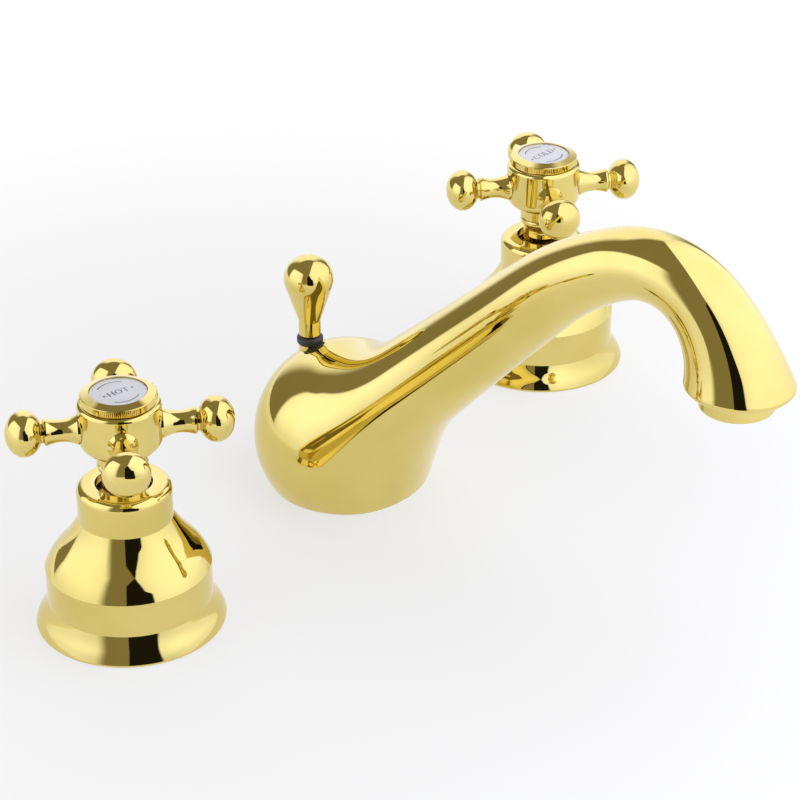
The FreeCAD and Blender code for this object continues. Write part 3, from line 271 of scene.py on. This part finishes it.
# Print on the index discs, in millimetres and degrees
INDEX_WORDS = {"hot": "HOT", "cold": "COLD"}
WORD_TURN = {"hot": -15.0, "cold": -5.0}
INDEX_CROWN = 0.12
INK_THICKNESS = 0.02
LETTER_HEIGHT = 2.3
LETTER_GAP = 0.3
DOT_RADIUS = 0.36
DOT_GAP = 1.1
RULE_RADIUS = 6.1
RULE_WIDTH = 0.3
RULE_SPAN = 42.0

# Letters' strokes, in letter heights. A bow is a stem thick at its sides and a hairline at top and bottom.
STEM = 0.16
HAIRLINE = 0.06
SERIF = 0.05
SERIF_REACH = 0.07
OPEN_BOW_STEPS = 28
CLOSED_BOW_STEPS = 48
DOT_STEPS = 20
RULE_STEPS = 40


def link(tree, start, end):
    tree.links.new(start, end)


def math_node(tree, operation, first, second):
    made = tree.nodes.new("ShaderNodeMath")
    made.operation = operation
    for socket, value in zip(made.inputs, (first, second)):
        if isinstance(value, (int, float)):
            socket.default_value = value
        else:
            link(tree, value, socket)
    return made.outputs[0]


def ramp_node(tree, value, low, high, start=0.0, end=1.0):
    """Smooth step of a value from start at low to end at high."""
    made = tree.nodes.new("ShaderNodeMapRange")
    made.interpolation_type = "SMOOTHSTEP"
    link(tree, value, made.inputs["Value"])
    made.inputs["From Min"].default_value = low
    made.inputs["From Max"].default_value = high
    made.inputs["To Min"].default_value = start
    made.inputs["To Max"].default_value = end
    return made.outputs["Result"]


def mix_colours(tree, share, first, second):
    made = tree.nodes.new("ShaderNodeMix")
    made.data_type = "RGBA"
    for name, value in (("Factor", share), ("A", first), ("B", second)):
        socket = next(s for s in made.inputs if s.name == name and s.enabled)
        if isinstance(value, tuple):
            socket.default_value = (*value, 1.0)
        else:
            link(tree, value, socket)
    return next(s for s in made.outputs if s.enabled)


def bare_material(name):
    """Material with an empty node tree."""
    made = bpy.data.materials.new(name)
    made.use_nodes = True
    made.node_tree.nodes.clear()
    return made, made.node_tree


def new_stage_object(name, mesh):
    made = bpy.data.objects.new(name, mesh)
    bpy.context.scene.collection.objects.link(made)
    return made


def panel_corner(across, toward, up):
    """Place in metres of a corner given from the camera's side."""
    azimuth = math.radians(CAMERA_AZIMUTH)
    right = np.array((math.cos(azimuth), math.sin(azimuth), 0.0))
    front = np.array((math.sin(azimuth), -math.cos(azimuth), 0.0))
    return (across * right + toward * front + np.array((0.0, 0.0, up))) * MM


def panel_mesh(name, corners):
    """Grid across a panel's corners, facing the faucet, with the shares along and up it as its UV map."""
    foot_start, foot_end, head_end, head_start = (panel_corner(*corner) for corner in corners)
    count = PANEL_CELLS + 1
    shares = [(column / PANEL_CELLS, row / PANEL_CELLS) for row in range(count) for column in range(count)]
    points = [
        (foot_start * (1 - u) + foot_end * u) * (1 - v) + (head_start * (1 - u) + head_end * u) * v
        for u, v in shares
    ]
    starts = [row * count + column for row in range(PANEL_CELLS) for column in range(PANEL_CELLS)]
    faces = [(start, start + 1, start + count + 1, start + count) for start in starts]
    if np.cross(foot_end - foot_start, head_start - foot_start) @ foot_start > 0:
        faces = [tuple(reversed(face)) for face in faces]
    mesh = bpy.data.meshes.new(name)
    mesh.from_pydata([tuple(point) for point in points], [], faces)
    layer = mesh.uv_layers.new(name="shares")
    for corner in mesh.loops:
        layer.data[corner.index].uv = shares[corner.vertex_index]
    return mesh


def panel_material(name, panel):
    """Light from the panel's front, fading out at its sides and head. Its back is clear."""
    made, tree = bare_material(name)
    split = tree.nodes.new("ShaderNodeSeparateXYZ")
    link(tree, tree.nodes.new("ShaderNodeTexCoord").outputs["UV"], split.inputs[0])
    along, up = split.outputs["X"], split.outputs["Y"]
    side = math_node(tree, "MINIMUM", along, math_node(tree, "SUBTRACT", 1.0, along))
    level = math_node(
        tree, "MULTIPLY",
        ramp_node(tree, up, 0.0, FOOT_DIMMING_SHARE, panel["foot_level"], 1.0),
        ramp_node(tree, side, 0.0, SIDE_DIMMING_SHARE, panel["side_level"], 1.0),
    )
    inside = math_node(
        tree, "MULTIPLY",
        ramp_node(tree, side, 0.0, panel["soft"]),
        ramp_node(tree, up, 1.0 - panel["soft"], 1.0, 1.0, 0.0),
    )
    front = math_node(tree, "SUBTRACT", 1.0, tree.nodes.new("ShaderNodeNewGeometry").outputs["Backfacing"])
    light = tree.nodes.new("ShaderNodeEmission")
    light.inputs["Color"].default_value = (*panel["radiance"], 1.0)
    link(tree, level, light.inputs["Strength"])
    mixed = tree.nodes.new("ShaderNodeMixShader")
    link(tree, math_node(tree, "MULTIPLY", inside, front), mixed.inputs[0])
    link(tree, tree.nodes.new("ShaderNodeBsdfTransparent").outputs[0], mixed.inputs[1])
    link(tree, light.outputs[0], mixed.inputs[2])
    link(tree, mixed.outputs[0], tree.nodes.new("ShaderNodeOutputMaterial").inputs["Surface"])
    return made


def make_studio():
    """Dim room and the panels of the tent, placed as the photograph's reflections show them."""
    world = bpy.data.worlds.new("studio")
    bpy.context.scene.world = world
    world.use_nodes = True
    world.node_tree.nodes["Background"].inputs["Color"].default_value = (*ROOM_RADIANCE, 1.0)
    for name, panel in STUDIO_PANELS.items():
        mesh = panel_mesh(name, panel["corners"])
        mesh.materials.append(panel_material(name, panel))
        made = new_stage_object(name, mesh)
        made.visible_camera = False


def floor_material():
    """Pale floor that keeps the shadow, lifted towards white where it is seen, also in metal or glass. The
    lift is lower near the faucet, which paints shade on the floor around it.
    """
    made, tree = bare_material("floor")
    diffuse = tree.nodes.new("ShaderNodeBsdfDiffuse")
    diffuse.inputs["Color"].default_value = (*FLOOR_COLOUR, 1.0)
    lift = tree.nodes.new("ShaderNodeEmission")
    path = tree.nodes.new("ShaderNodeLightPath").outputs
    seen = math_node(tree, "MAXIMUM", path["Is Camera Ray"], path["Is Glossy Ray"])
    seen = math_node(tree, "MAXIMUM", seen, path["Is Transmission Ray"])
    reach = tree.nodes.new("ShaderNodeVectorMath")
    reach.operation = "LENGTH"
    link(tree, tree.nodes.new("ShaderNodeTexCoord").outputs["Object"], reach.inputs[0])
    near, far = FLOOR_NEAR_REACH * MM, FLOOR_FAR_REACH * MM
    # Lift lower near the faucet: painted shade on the floor around it, also seen in the metal's reflection
    # of the floor
    level = ramp_node(tree, reach.outputs["Value"], near, far, FLOOR_LIFT_NEAR_PAINTED_SHADE, FLOOR_LIFT_FAR)
    link(tree, math_node(tree, "MULTIPLY", seen, level), lift.inputs["Strength"])
    total = tree.nodes.new("ShaderNodeAddShader")
    link(tree, diffuse.outputs[0], total.inputs[0])
    link(tree, lift.outputs[0], total.inputs[1])
    link(tree, total.outputs[0], tree.nodes.new("ShaderNodeOutputMaterial").inputs["Surface"])
    return made


def make_floor():
    mesh = bpy.data.meshes.new("floor")
    half, height = FLOOR_HALF_SIZE * MM, -FLOOR_DROP * MM
    corners = [(-half, -half, height), (half, -half, height), (half, half, height), (-half, half, height)]
    mesh.from_pydata(corners, [], [(0, 1, 2, 3)])
    mesh.materials.append(floor_material())
    new_stage_object("floor", mesh)


def make_camera():
    azimuth, pitch, roll = (math.radians(v) for v in (CAMERA_AZIMUTH, CAMERA_PITCH, CAMERA_ROLL))
    flat = math.cos(pitch)
    back = Vector((math.sin(azimuth) * flat, -math.cos(azimuth) * flat, math.sin(pitch)))
    level = Vector((math.cos(azimuth), math.sin(azimuth), 0.0))
    rise = level.cross(-back)
    right = level * math.cos(roll) + rise * math.sin(roll)
    up = rise * math.cos(roll) - level * math.sin(roll)
    data = bpy.data.cameras.new("photo_camera")
    data.sensor_width = SENSOR_WIDTH
    data.lens = SENSOR_WIDTH * FOCAL_PIXELS / PHOTO_PIXELS
    data.clip_start = CAMERA_CLIP_START * MM
    data.clip_end = CAMERA_CLIP_END * MM
    camera = bpy.data.objects.new("photo_camera", data)
    place = (Vector(CAMERA_TARGET) + back * CAMERA_DISTANCE) * MM
    rotation = Matrix((right, up, back)).transposed().to_4x4()
    camera.matrix_world = Matrix.Translation(place) @ rotation
    bpy.context.scene.collection.objects.link(camera)
    bpy.context.scene.camera = camera


def new_material(name):
    made = bpy.data.materials.new(name)
    made.use_nodes = True
    return made, made.node_tree, made.node_tree.nodes["Principled BSDF"]


def noise(tree, scale, detail, stretch=(1.0, 1.0, 1.0)):
    """Noise in the piece's own coordinates, in cycles per metre."""
    mapping = tree.nodes.new("ShaderNodeMapping")
    mapping.inputs["Scale"].default_value = stretch
    link(tree, tree.nodes.new("ShaderNodeTexCoord").outputs["Object"], mapping.inputs["Vector"])
    made = tree.nodes.new("ShaderNodeTexNoise")
    made.inputs["Scale"].default_value = scale
    made.inputs["Detail"].default_value = detail
    link(tree, mapping.outputs[0], made.inputs["Vector"])
    return made.outputs["Fac"]


def edge_wear(tree, low, high, most):
    """Wear that grows to its most along convex edges."""
    pointed = tree.nodes.new("ShaderNodeNewGeometry").outputs["Pointiness"]
    return ramp_node(tree, pointed, low, high, 0.0, most)


def bump(tree, shader, pattern, strength, height):
    made = tree.nodes.new("ShaderNodeBump")
    made.inputs["Strength"].default_value = strength
    made.inputs["Distance"].default_value = height * MM
    link(tree, pattern, made.inputs["Height"])
    link(tree, made.outputs[0], shader.inputs["Normal"])


def brightened(colour, gain, offset):
    return tuple(min(1.0, gain * value + offset) for value in colour)


def polished_gold(name):
    """Polished brass-gold plate: faint tone changes, wiped smears, paler worn edges."""
    made, tree, shader = new_material(name)
    tone = ramp_node(tree, noise(tree, **GOLD_TONE), *GOLD_TONE_RANGE)
    wear = edge_wear(tree, **GOLD_WEAR)
    colour = mix_colours(tree, tone, GOLD_DEEP, GOLD_PALE)
    link(tree, mix_colours(tree, wear, colour, GOLD_WORN), shader.inputs["Base Color"])
    smears = ramp_node(tree, noise(tree, **GOLD_SMEARS), *GOLD_SMEAR_RANGE, *GOLD_ROUGHNESS)
    scratches = math_node(tree, "MULTIPLY", wear, GOLD_WEAR_ROUGHNESS)
    link(tree, math_node(tree, "ADD", smears, scratches), shader.inputs["Roughness"])
    shader.inputs["Metallic"].default_value = 1.0
    bump(tree, shader, noise(tree, **GOLD_RIPPLES), GOLD_RIPPLE_STRENGTH, GOLD_RIPPLE_HEIGHT)
    return made


def turned_metal(name, deep, pale, roughness, line_scale):
    """Bare metal with fine turning lines, dull patches and brighter worn edges."""
    made, tree, shader = new_material(name)
    lines = noise(tree, line_scale, **TURNED_LINES)
    patches = ramp_node(tree, noise(tree, **TURNED_PATCHES), *TURNED_PATCH_RANGE)
    wear = edge_wear(tree, **TURNED_WEAR)
    colour = mix_colours(tree, patches, deep, pale)
    worn = brightened(pale, TURNED_WEAR_GAIN, TURNED_WEAR_OFFSET)
    link(tree, mix_colours(tree, wear, colour, worn), shader.inputs["Base Color"])
    dulling = ramp_node(tree, noise(tree, **TURNED_DULLING), *TURNED_DULLING_RANGE, *roughness)
    ridges = math_node(tree, "MULTIPLY", lines, TURNED_LINE_ROUGHNESS)
    link(tree, math_node(tree, "ADD", dulling, ridges), shader.inputs["Roughness"])
    shader.inputs["Metallic"].default_value = 1.0
    bump(tree, shader, lines, TURNED_LINE_STRENGTH, TURNED_LINE_HEIGHT)
    return made


def moulded(name, deep, pale, roughness, grain_scale, grain_height, coat):
    """Non-metal with a mottled tone, uneven gloss, a fine grain and scuffed edges."""
    made, tree, shader = new_material(name)
    mottle = ramp_node(tree, noise(tree, **MOULDED_MOTTLE), *MOULDED_RANGE)
    wear = edge_wear(tree, **MOULDED_WEAR)
    colour = mix_colours(tree, mottle, deep, pale)
    scuffed = brightened(pale, MOULDED_WEAR_GAIN, MOULDED_WEAR_OFFSET)
    link(tree, mix_colours(tree, wear, colour, scuffed), shader.inputs["Base Color"])
    gloss = ramp_node(tree, noise(tree, **MOULDED_GLOSS), *MOULDED_RANGE, *roughness)
    link(tree, gloss, shader.inputs["Roughness"])
    shader.inputs["Coat Weight"].default_value = coat
    grain = noise(tree, grain_scale, MOULDED_GRAIN_DETAIL)
    bump(tree, shader, grain, MOULDED_GRAIN_STRENGTH, grain_height)
    return made


def make_finishes():
    made = {"polished_gold": polished_gold("polished_gold")}
    for name, values in TURNED_METALS.items():
        made[name] = turned_metal(name, **values)
    for name, values in MOULDED_FINISHES.items():
        made[name] = moulded(name, **values)
    return made


def finish_nodes(finishes):
    """Gives each CAD node the finish of its own slot."""
    for node in frame["nodes"].values():
        slot = node.material_slots[0].material.name.split(".")[0]
        node.material_slots[0].material = finishes[slot]


def new_piece(name, mesh, body, finish):
    made = bpy.data.objects.new(name, mesh)
    bpy.context.scene.collection.objects.link(made)
    mesh.materials.clear()
    mesh.materials.append(finish)
    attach(made, body)
    return made


def natural_spline(knots, values, at):
    """Natural cubic through the knots, read at the given places."""
    count = len(knots)
    gaps = np.diff(knots)
    slopes = np.diff(values) / gaps
    matrix = np.eye(count)
    right = np.zeros(count)
    for i in range(1, count - 1):
        matrix[i, i - 1:i + 2] = gaps[i - 1], 2 * (gaps[i - 1] + gaps[i]), gaps[i]
        right[i] = 6 * (slopes[i] - slopes[i - 1])
    bends = np.linalg.solve(matrix, right)
    i = np.clip(np.searchsorted(knots, at) - 1, 0, count - 2)
    t = at - knots[i]
    start = slopes[i] - gaps[i] * (2 * bends[i] + bends[i + 1]) / 6
    return values[i] + t * (start + t * (bends[i] / 2 + t * (bends[i + 1] - bends[i]) / (6 * gaps[i])))


class Spine:
    """The spout's centreline with its bends eased into each other, and the tube's radius along it."""

    def __init__(self):
        self.along = np.arange(SPINE_START, SPINE_END, SPINE_STEP)
        self.angle = math.radians(RISE_ANGLE) - np.cumsum(self.eased_curvature()) * SPINE_STEP
        reach = np.cumsum(np.cos(self.angle)) * SPINE_STEP
        height = np.cumsum(np.sin(self.angle)) * SPINE_STEP
        foot = np.searchsorted(self.along, 0.0)
        self.reach = (reach - reach[foot]) * SPINE_REACH_SHARE
        self.height = height - height[foot] + SPINE_FOOT_HEIGHT
        knots, radii = np.array(TUBE_RADII).T
        self.radius = natural_spline(knots, radii, self.along)

    def eased_curvature(self):
        """Curvature of the bends along the spine, smoothed by a moving average."""
        curvature = np.zeros_like(self.along)
        here, heading = RISE_LENGTH, RISE_ANGLE
        for radius, end in SPOUT_BENDS:
            length = radius * math.radians(heading - end)
            curvature[(self.along >= here) & (self.along < here + length)] = 1 / radius
            here, heading = here + length, end
        kernel = np.ones(int(SPINE_EASE / SPINE_STEP))
        kernel /= len(kernel)
        for _ in range(SPINE_EASE_PASSES):
            curvature = np.convolve(curvature, kernel, "same")
        return curvature

    def read(self, values, at):
        return np.interp(at, self.along, values)

    def centre(self, at):
        reach, height = self.read(self.reach, at), self.read(self.height, at)
        return np.stack([np.zeros_like(reach), -reach, height], -1)

    def outward(self, at, turn):
        """Unit vector across the spine, at a turn about it."""
        angle = self.read(self.angle, at)
        return np.stack([np.cos(turn), np.sin(turn) * np.sin(angle), np.sin(turn) * np.cos(angle)], -1)

    def tube(self, at, turn):
        return self.centre(at) + self.read(self.radius, at)[..., None] * self.outward(at, turn)


def bulb_middle():
    """Place along the spine of the middle of the bulb."""
    rise = math.radians(RISE_ANGLE)
    return (BULB_HEIGHT - SPINE_FOOT_HEIGHT) * math.sin(rise) - BULB_SETBACK * math.cos(rise)


def ball_radius(ahead, depth):
    """Radius of the bulb's ball some way ahead of its middle, with its front at a share of its depth."""
    return np.sqrt(np.maximum(BULB_RADIUS ** 2 - (ahead / np.where(ahead > 0, depth, 1.0)) ** 2, 0))


def neck_profile(spine, at, ball_end, tube_start, depth):
    """Distance from the spine to the skin along one side: the ball, a cubic, then the plain tube."""
    middle = bulb_middle()
    run = tube_start - ball_end
    start = ball_radius(ball_end - middle, depth)
    start_slope = -(ball_end - middle) / (depth ** 2 * start)
    end = spine.read(spine.radius, tube_start)
    end_slope = spine.read(np.gradient(spine.radius, SPINE_STEP), tube_start)
    share = np.clip((at - ball_end) / run, 0, 1)
    left = 1 - share
    cubic = start * left ** 2 * (1 + 2 * share) + end * share ** 2 * (1 + 2 * left)
    cubic += run * share * left * (start_slope * left - end_slope * share)
    tube = spine.read(spine.radius, at)
    return np.where(at < ball_end, ball_radius(at - middle, depth), np.where(at > tube_start, tube, cubic))


def neck_radius(spine, at, turn):
    """Distance from the spine to the skin where the bulb draws in to the tube."""
    names = ("top", "side", "bottom")
    top, side, bottom = (neck_profile(spine, at, *NECK_PROFILES[name]) for name in names)
    high = (top + bottom) / 2 + (top - bottom) / 2 * np.sin(turn)
    return 1 / np.hypot(np.cos(turn) / side, np.sin(turn) / high)


def ring_turns(columns):
    return np.arange(columns) * FULL_TURN / columns


def ring_places():
    """Places along the spine of the rings from the bulb's hidden pole to where the end flares."""
    polar = np.radians(np.arange(POLAR_STEP, POLAR_END, POLAR_STEP))
    bulb = bulb_middle() - BULB_RADIUS * np.cos(polar)
    return np.concatenate([bulb, np.arange(bulb[-1] + RING_SPACING, FLARE_START, RING_SPACING)])


def body_ring(spine, turn, place):
    """Ring of the bulb, the neck or the tube."""
    at = np.full_like(turn, place)
    if place < RISE_LENGTH - SPINE_EASE:
        return spine.centre(at) + neck_radius(spine, at, turn)[:, None] * spine.outward(at, turn)
    return spine.tube(at, turn)


def unit_rows(vectors):
    return vectors / np.linalg.norm(vectors, axis=1)[:, None]


def steps_to_one(count):
    return np.linspace(0, 1, count + 1)[1:]


def rim_places(spine, turn, start):
    """Places along the spine where each line of the tube comes down to the rim, found by halving."""
    low, high = start, np.full_like(turn, SPINE_END - RIM_SEARCH_MARGIN)
    for _ in range(RIM_SEARCH_HALVINGS):
        half = (low + high) / 2
        above = spine.tube(half, turn)[:, 2] > RIM_HEIGHT
        low, high = np.where(above, half, low), np.where(above, high, half)
    return low


def flare_rings(spine, turn, place):
    """Rings of the flared wall, its rounded rim and the aerator's socket, from a place along the spine."""
    start = np.full_like(turn, place)
    at_rim = rim_places(spine, turn, start)
    corner = spine.tube(at_rim, turn)
    wall = corner - spine.tube(at_rim - WALL_PROBE, turn)
    wall_rate = np.linalg.norm(wall, axis=1) / WALL_PROBE
    wall = unit_rows(wall)
    outlet = np.array((0.0, -SPOUT_REACH, RIM_HEIGHT))
    inward = unit_rows(outlet - corner)
    bend = np.arccos(np.sum(wall * inward, axis=1))
    end = at_rim - RIM_ROUND * np.tan(bend / 2) / wall_rate
    rings = [spine.tube(start + (end - start) * share, turn) for share in steps_to_one(FLARE_RINGS)]
    across = unit_rows(inward - np.sum(inward * wall, axis=1)[:, None] * wall)
    round_centre = rings[-1] + RIM_ROUND * across
    for share in steps_to_one(RIM_ROUND_RINGS):
        part = (bend * share)[:, None]
        rings.append(round_centre + RIM_ROUND * (wall * np.sin(part) - across * np.cos(part)))
    rings[-1][:, 2] = RIM_HEIGHT
    socket = outlet - AERATOR_SOCKET_RADIUS * inward
    return rings + [socket, socket + np.array((0.0, 0.0, AERATOR_SOCKET_DEPTH))]


def grid_faces(row_count, columns):
    faces = []
    for row in range(row_count - 1):
        for column in range(columns):
            after = (column + 1) % columns
            base, top = row * columns, (row + 1) * columns
            faces.append((base + column, base + after, top + after, top + column))
    return faces


def mesh_of(name, points, faces):
    """Mesh of points given in millimetres."""
    mesh = bpy.data.meshes.new(name)
    mesh.from_pydata((np.array(points) * MM).tolist(), [], faces)
    return mesh


def spout_form(spine):
    """Closed form of the spout, with a whole ball for its bulb."""
    turn = ring_turns(SPOUT_COLUMNS)
    places = ring_places()
    rings = [body_ring(spine, turn, place) for place in places] + flare_rings(spine, turn, places[-1])
    pole = spine.centre(np.array([bulb_middle() - BULB_RADIUS]))
    points = np.vstack(rings + [pole])
    faces = grid_faces(len(rings), SPOUT_COLUMNS)
    faces += [(len(points) - 1, (c + 1) % SPOUT_COLUMNS, c) for c in range(SPOUT_COLUMNS)]
    end = (len(rings) - 1) * SPOUT_COLUMNS
    faces.append(tuple(range(end, end + SPOUT_COLUMNS)))
    return mesh_of("spout_skin", points, faces)


def stand_on_deck(mesh):
    """Cuts the bulb off at the deck and gives it a flat lip around a recessed base."""
    shape = bmesh.new()
    shape.from_mesh(mesh)
    everything = shape.verts[:] + shape.edges[:] + shape.faces[:]
    deck, down = (0, 0, 0), (0, 0, -1)
    bmesh.ops.bisect_plane(shape, geom=everything, plane_co=deck, plane_no=down, clear_outer=True)
    rim = [edge for edge in shape.edges if edge.is_boundary]
    centre = Vector((0.0, BULB_SETBACK * MM, 0.0))
    for shift, lift in ((BASE_LIP, 0.0), (0.0, BASE_RECESS)):
        grown = bmesh.ops.extrude_edge_only(shape, edges=rim)["geom"]
        rim = [item for item in grown if isinstance(item, bmesh.types.BMEdge)]
        for vertex in (item for item in grown if isinstance(item, bmesh.types.BMVert)):
            away = vertex.co - centre
            away.z = 0.0
            vertex.co -= away.normalized() * shift * MM
            vertex.co.z += lift * MM
    bmesh.ops.holes_fill(shape, edges=rim)
    bmesh.ops.recalc_face_normals(shape, faces=shape.faces[:])
    shape.to_mesh(mesh)
    shape.free()


def rod_seat_cutter():
    """Stepped plug with the shape of the bumper ring's seat and the guide's bore."""
    profile = (
        (GUIDE_BORE_RADIUS, GUIDE_BORE_FOOT), (GUIDE_BORE_RADIUS, ROD_SEAT_HEIGHT),
        (ROD_SEAT_RADIUS, ROD_SEAT_HEIGHT), (ROD_SEAT_RADIUS, 2 * BULB_RADIUS),
    )
    turn = ring_turns(SEAT_COLUMNS)
    points = [(r * math.cos(a), ROD_SETBACK + r * math.sin(a), z) for r, z in profile for a in turn]
    faces = grid_faces(len(profile), SEAT_COLUMNS)
    faces.append(tuple(reversed(range(SEAT_COLUMNS))))
    faces.append(tuple(range(len(points) - SEAT_COLUMNS, len(points))))
    return mesh_of("rod_seat_cutter", points, faces)


def cut_away(mesh, cutter_mesh):
    """Exact difference of two closed meshes."""
    objects = bpy.context.scene.collection.objects
    body = bpy.data.objects.new("cut_body", mesh)
    cutter = bpy.data.objects.new("cut_tool", cutter_mesh)
    objects.link(body)
    objects.link(cutter)
    change = body.modifiers.new("cut", "BOOLEAN")
    change.operation = "DIFFERENCE"
    change.solver = "EXACT"
    change.object = cutter
    bpy.context.view_layer.update()
    made = bpy.data.meshes.new_from_object(body.evaluated_get(bpy.context.evaluated_depsgraph_get()))
    bpy.data.objects.remove(body)
    bpy.data.objects.remove(cutter)
    return made


def shade_smooth(mesh):
    mesh.shade_smooth()
    mesh.set_sharp_from_angle(angle=math.radians(SHARP_EDGE))


def true_bulb_normals(mesh, spine):
    """Normals of the exact ball around the rod's seat, which breaks up the even grid."""
    centre = Vector(spine.centre(np.array([bulb_middle()]))[0]) * MM
    normals = [Vector(corner.vector) for corner in mesh.corner_normals]
    for face in mesh.polygons:
        for corner in face.loop_indices:
            place = mesh.vertices[mesh.loops[corner].vertex_index].co
            away = place - centre
            near_rod = math.hypot(place.x, place.y - ROD_SETBACK * MM) < SEAT_SURROUND * MM
            on_bulb = abs(away.length - BULB_RADIUS * MM) < BALL_TOLERANCE * MM
            if near_rod and on_bulb and face.normal.dot(away.normalized()) > OUTER_FACING:
                normals[corner] = away.normalized()
    mesh.normals_split_custom_set(normals)


def make_spout(finishes):
    """Spout skin: bulb, tube, rounded rim, aerator socket, recessed base and the lift rod's seat."""
    spine = Spine()
    form = spout_form(spine)
    stand_on_deck(form)
    mesh = cut_away(form, rod_seat_cutter())
    shade_smooth(mesh)
    true_bulb_normals(mesh, spine)
    piece = new_piece("spout_skin", mesh, "fixed", finishes["polished_gold"])
    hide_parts("spout_body")


def bar(x0, y0, x1, y1):
    return [[(x0, y0), (x1, y0), (x1, y1), (x0, y1)]]


def ellipse_points(centre, reach, angles):
    return [(centre[0] + reach[0] * math.cos(a), centre[1] + reach[1] * math.sin(a)) for a in angles]


def bow(centre, reach, thickness, span, steps):
    """Stroke along an ellipse. Its reach and thickness are given across and up, and its span in degrees."""
    start, end = span
    angles = [math.radians(start + (end - start) * i / steps) for i in range(steps + 1)]
    outer = ellipse_points(centre, reach, angles)
    inner = ellipse_points(centre, (reach[0] - thickness[0], reach[1] - thickness[1]), angles)
    return [[outer[i], outer[i + 1], inner[i + 1], inner[i]] for i in range(steps)]


def letter_bow(centre, reach, span=(0, 360), steps=CLOSED_BOW_STEPS):
    return bow(centre, reach, (STEM, HAIRLINE), span, steps)


def stem(x):
    """Upright with a small foot and head, one letter high."""
    left, right = x - SERIF_REACH, x + STEM + SERIF_REACH
    return bar(x, SERIF, x + STEM, 1 - SERIF) + bar(left, 0, right, SERIF) + bar(left, 1 - SERIF, right, 1)


def letter_h():
    return stem(0.07) + stem(0.69) + bar(0.23, 0.48, 0.69, 0.48 + HAIRLINE)


def letter_o():
    return letter_bow((0.45, 0.5), (0.45, 0.52))


def letter_t():
    top = 1 - HAIRLINE
    return stem(0.34) + bar(0, top, 0.84, 1) + bar(0, 0.76, SERIF, top) + bar(0.84 - SERIF, 0.76, 0.84, top)


def letter_c():
    side = letter_bow((0.46, 0.5), (0.46, 0.52), (42, 318), OPEN_BOW_STEPS)
    return side + bar(0.76, 0.68, 0.76 + SERIF, 0.98)


def letter_l():
    return stem(0.07) + bar(0.23, 0, 0.74, HAIRLINE) + bar(0.74 - SERIF, HAIRLINE, 0.74, 0.26)


def letter_d():
    side = letter_bow((0.3, 0.5), (0.62, 0.5), (-90, 90), OPEN_BOW_STEPS)
    return stem(0.07) + side + bar(0.2, 0, 0.32, HAIRLINE) + bar(0.2, 1 - HAIRLINE, 0.32, 1)


# Each letter's width, in letter heights, and its strokes
LETTERS = {
    "H": (0.92, letter_h()), "O": (0.90, letter_o()), "T": (0.84, letter_t()),
    "C": (0.86, letter_c()), "L": (0.74, letter_l()), "D": (0.92, letter_d()),
}


def printed_shapes(word):
    """Flat outlines of a word between two dots, with a plain curved rule above and below it."""
    gap = LETTER_GAP / LETTER_HEIGHT
    width = sum(LETTERS[letter][0] for letter in word) + gap * (len(word) - 1)
    shapes, here = [], -width / 2
    for letter in word:
        advance, quads = LETTERS[letter]
        for quad in quads:
            shapes.append([((x + here) * LETTER_HEIGHT, (y - 0.5) * LETTER_HEIGHT) for x, y in quad])
        here += advance + gap
    dot_place = width / 2 * LETTER_HEIGHT + DOT_GAP
    dot, rule, rule_width = (DOT_RADIUS, DOT_RADIUS), (RULE_RADIUS, RULE_RADIUS), (RULE_WIDTH, RULE_WIDTH)
    for side in (-1, 1):
        shapes += bow((side * dot_place, 0), dot, dot, (0, 360), DOT_STEPS)
    for middle in (90, 270):
        shapes += bow((0, 0), rule, rule_width, (middle - RULE_SPAN, middle + RULE_SPAN), RULE_STEPS)
    return shapes


def make_print(side, finishes):
    """Ink that follows the crown of the index disc on one side."""
    low, high = box_mm(f"{side}_index_disc")
    middle, radius, top = (low[0] + high[0]) / 2, (high[0] - low[0]) / 2, high[2]
    turn = math.radians(WORD_TURN[side])
    points, faces = [], []
    for shape in printed_shapes(INDEX_WORDS[side]):
        faces.append(tuple(range(len(points), len(points) + len(shape))))
        for px, py in shape:
            x = middle + px * math.cos(turn) - py * math.sin(turn)
            y = px * math.sin(turn) + py * math.cos(turn)
            points.append((x, y, top - INDEX_CROWN * (px * px + py * py) / radius ** 2 + INK_THICKNESS))
    mesh = mesh_of(f"{side}_index_print", points, faces)
    new_piece(f"{side}_index_print", mesh, f"{side}_handle", finishes["index_ink"])


bpy.context.scene.view_settings.view_transform = "Standard"
make_studio()
make_floor()
make_camera()
finishes = make_finishes()
finish_nodes(finishes)
make_spout(finishes)
for side in INDEX_WORDS:
    make_print(side, finishes)
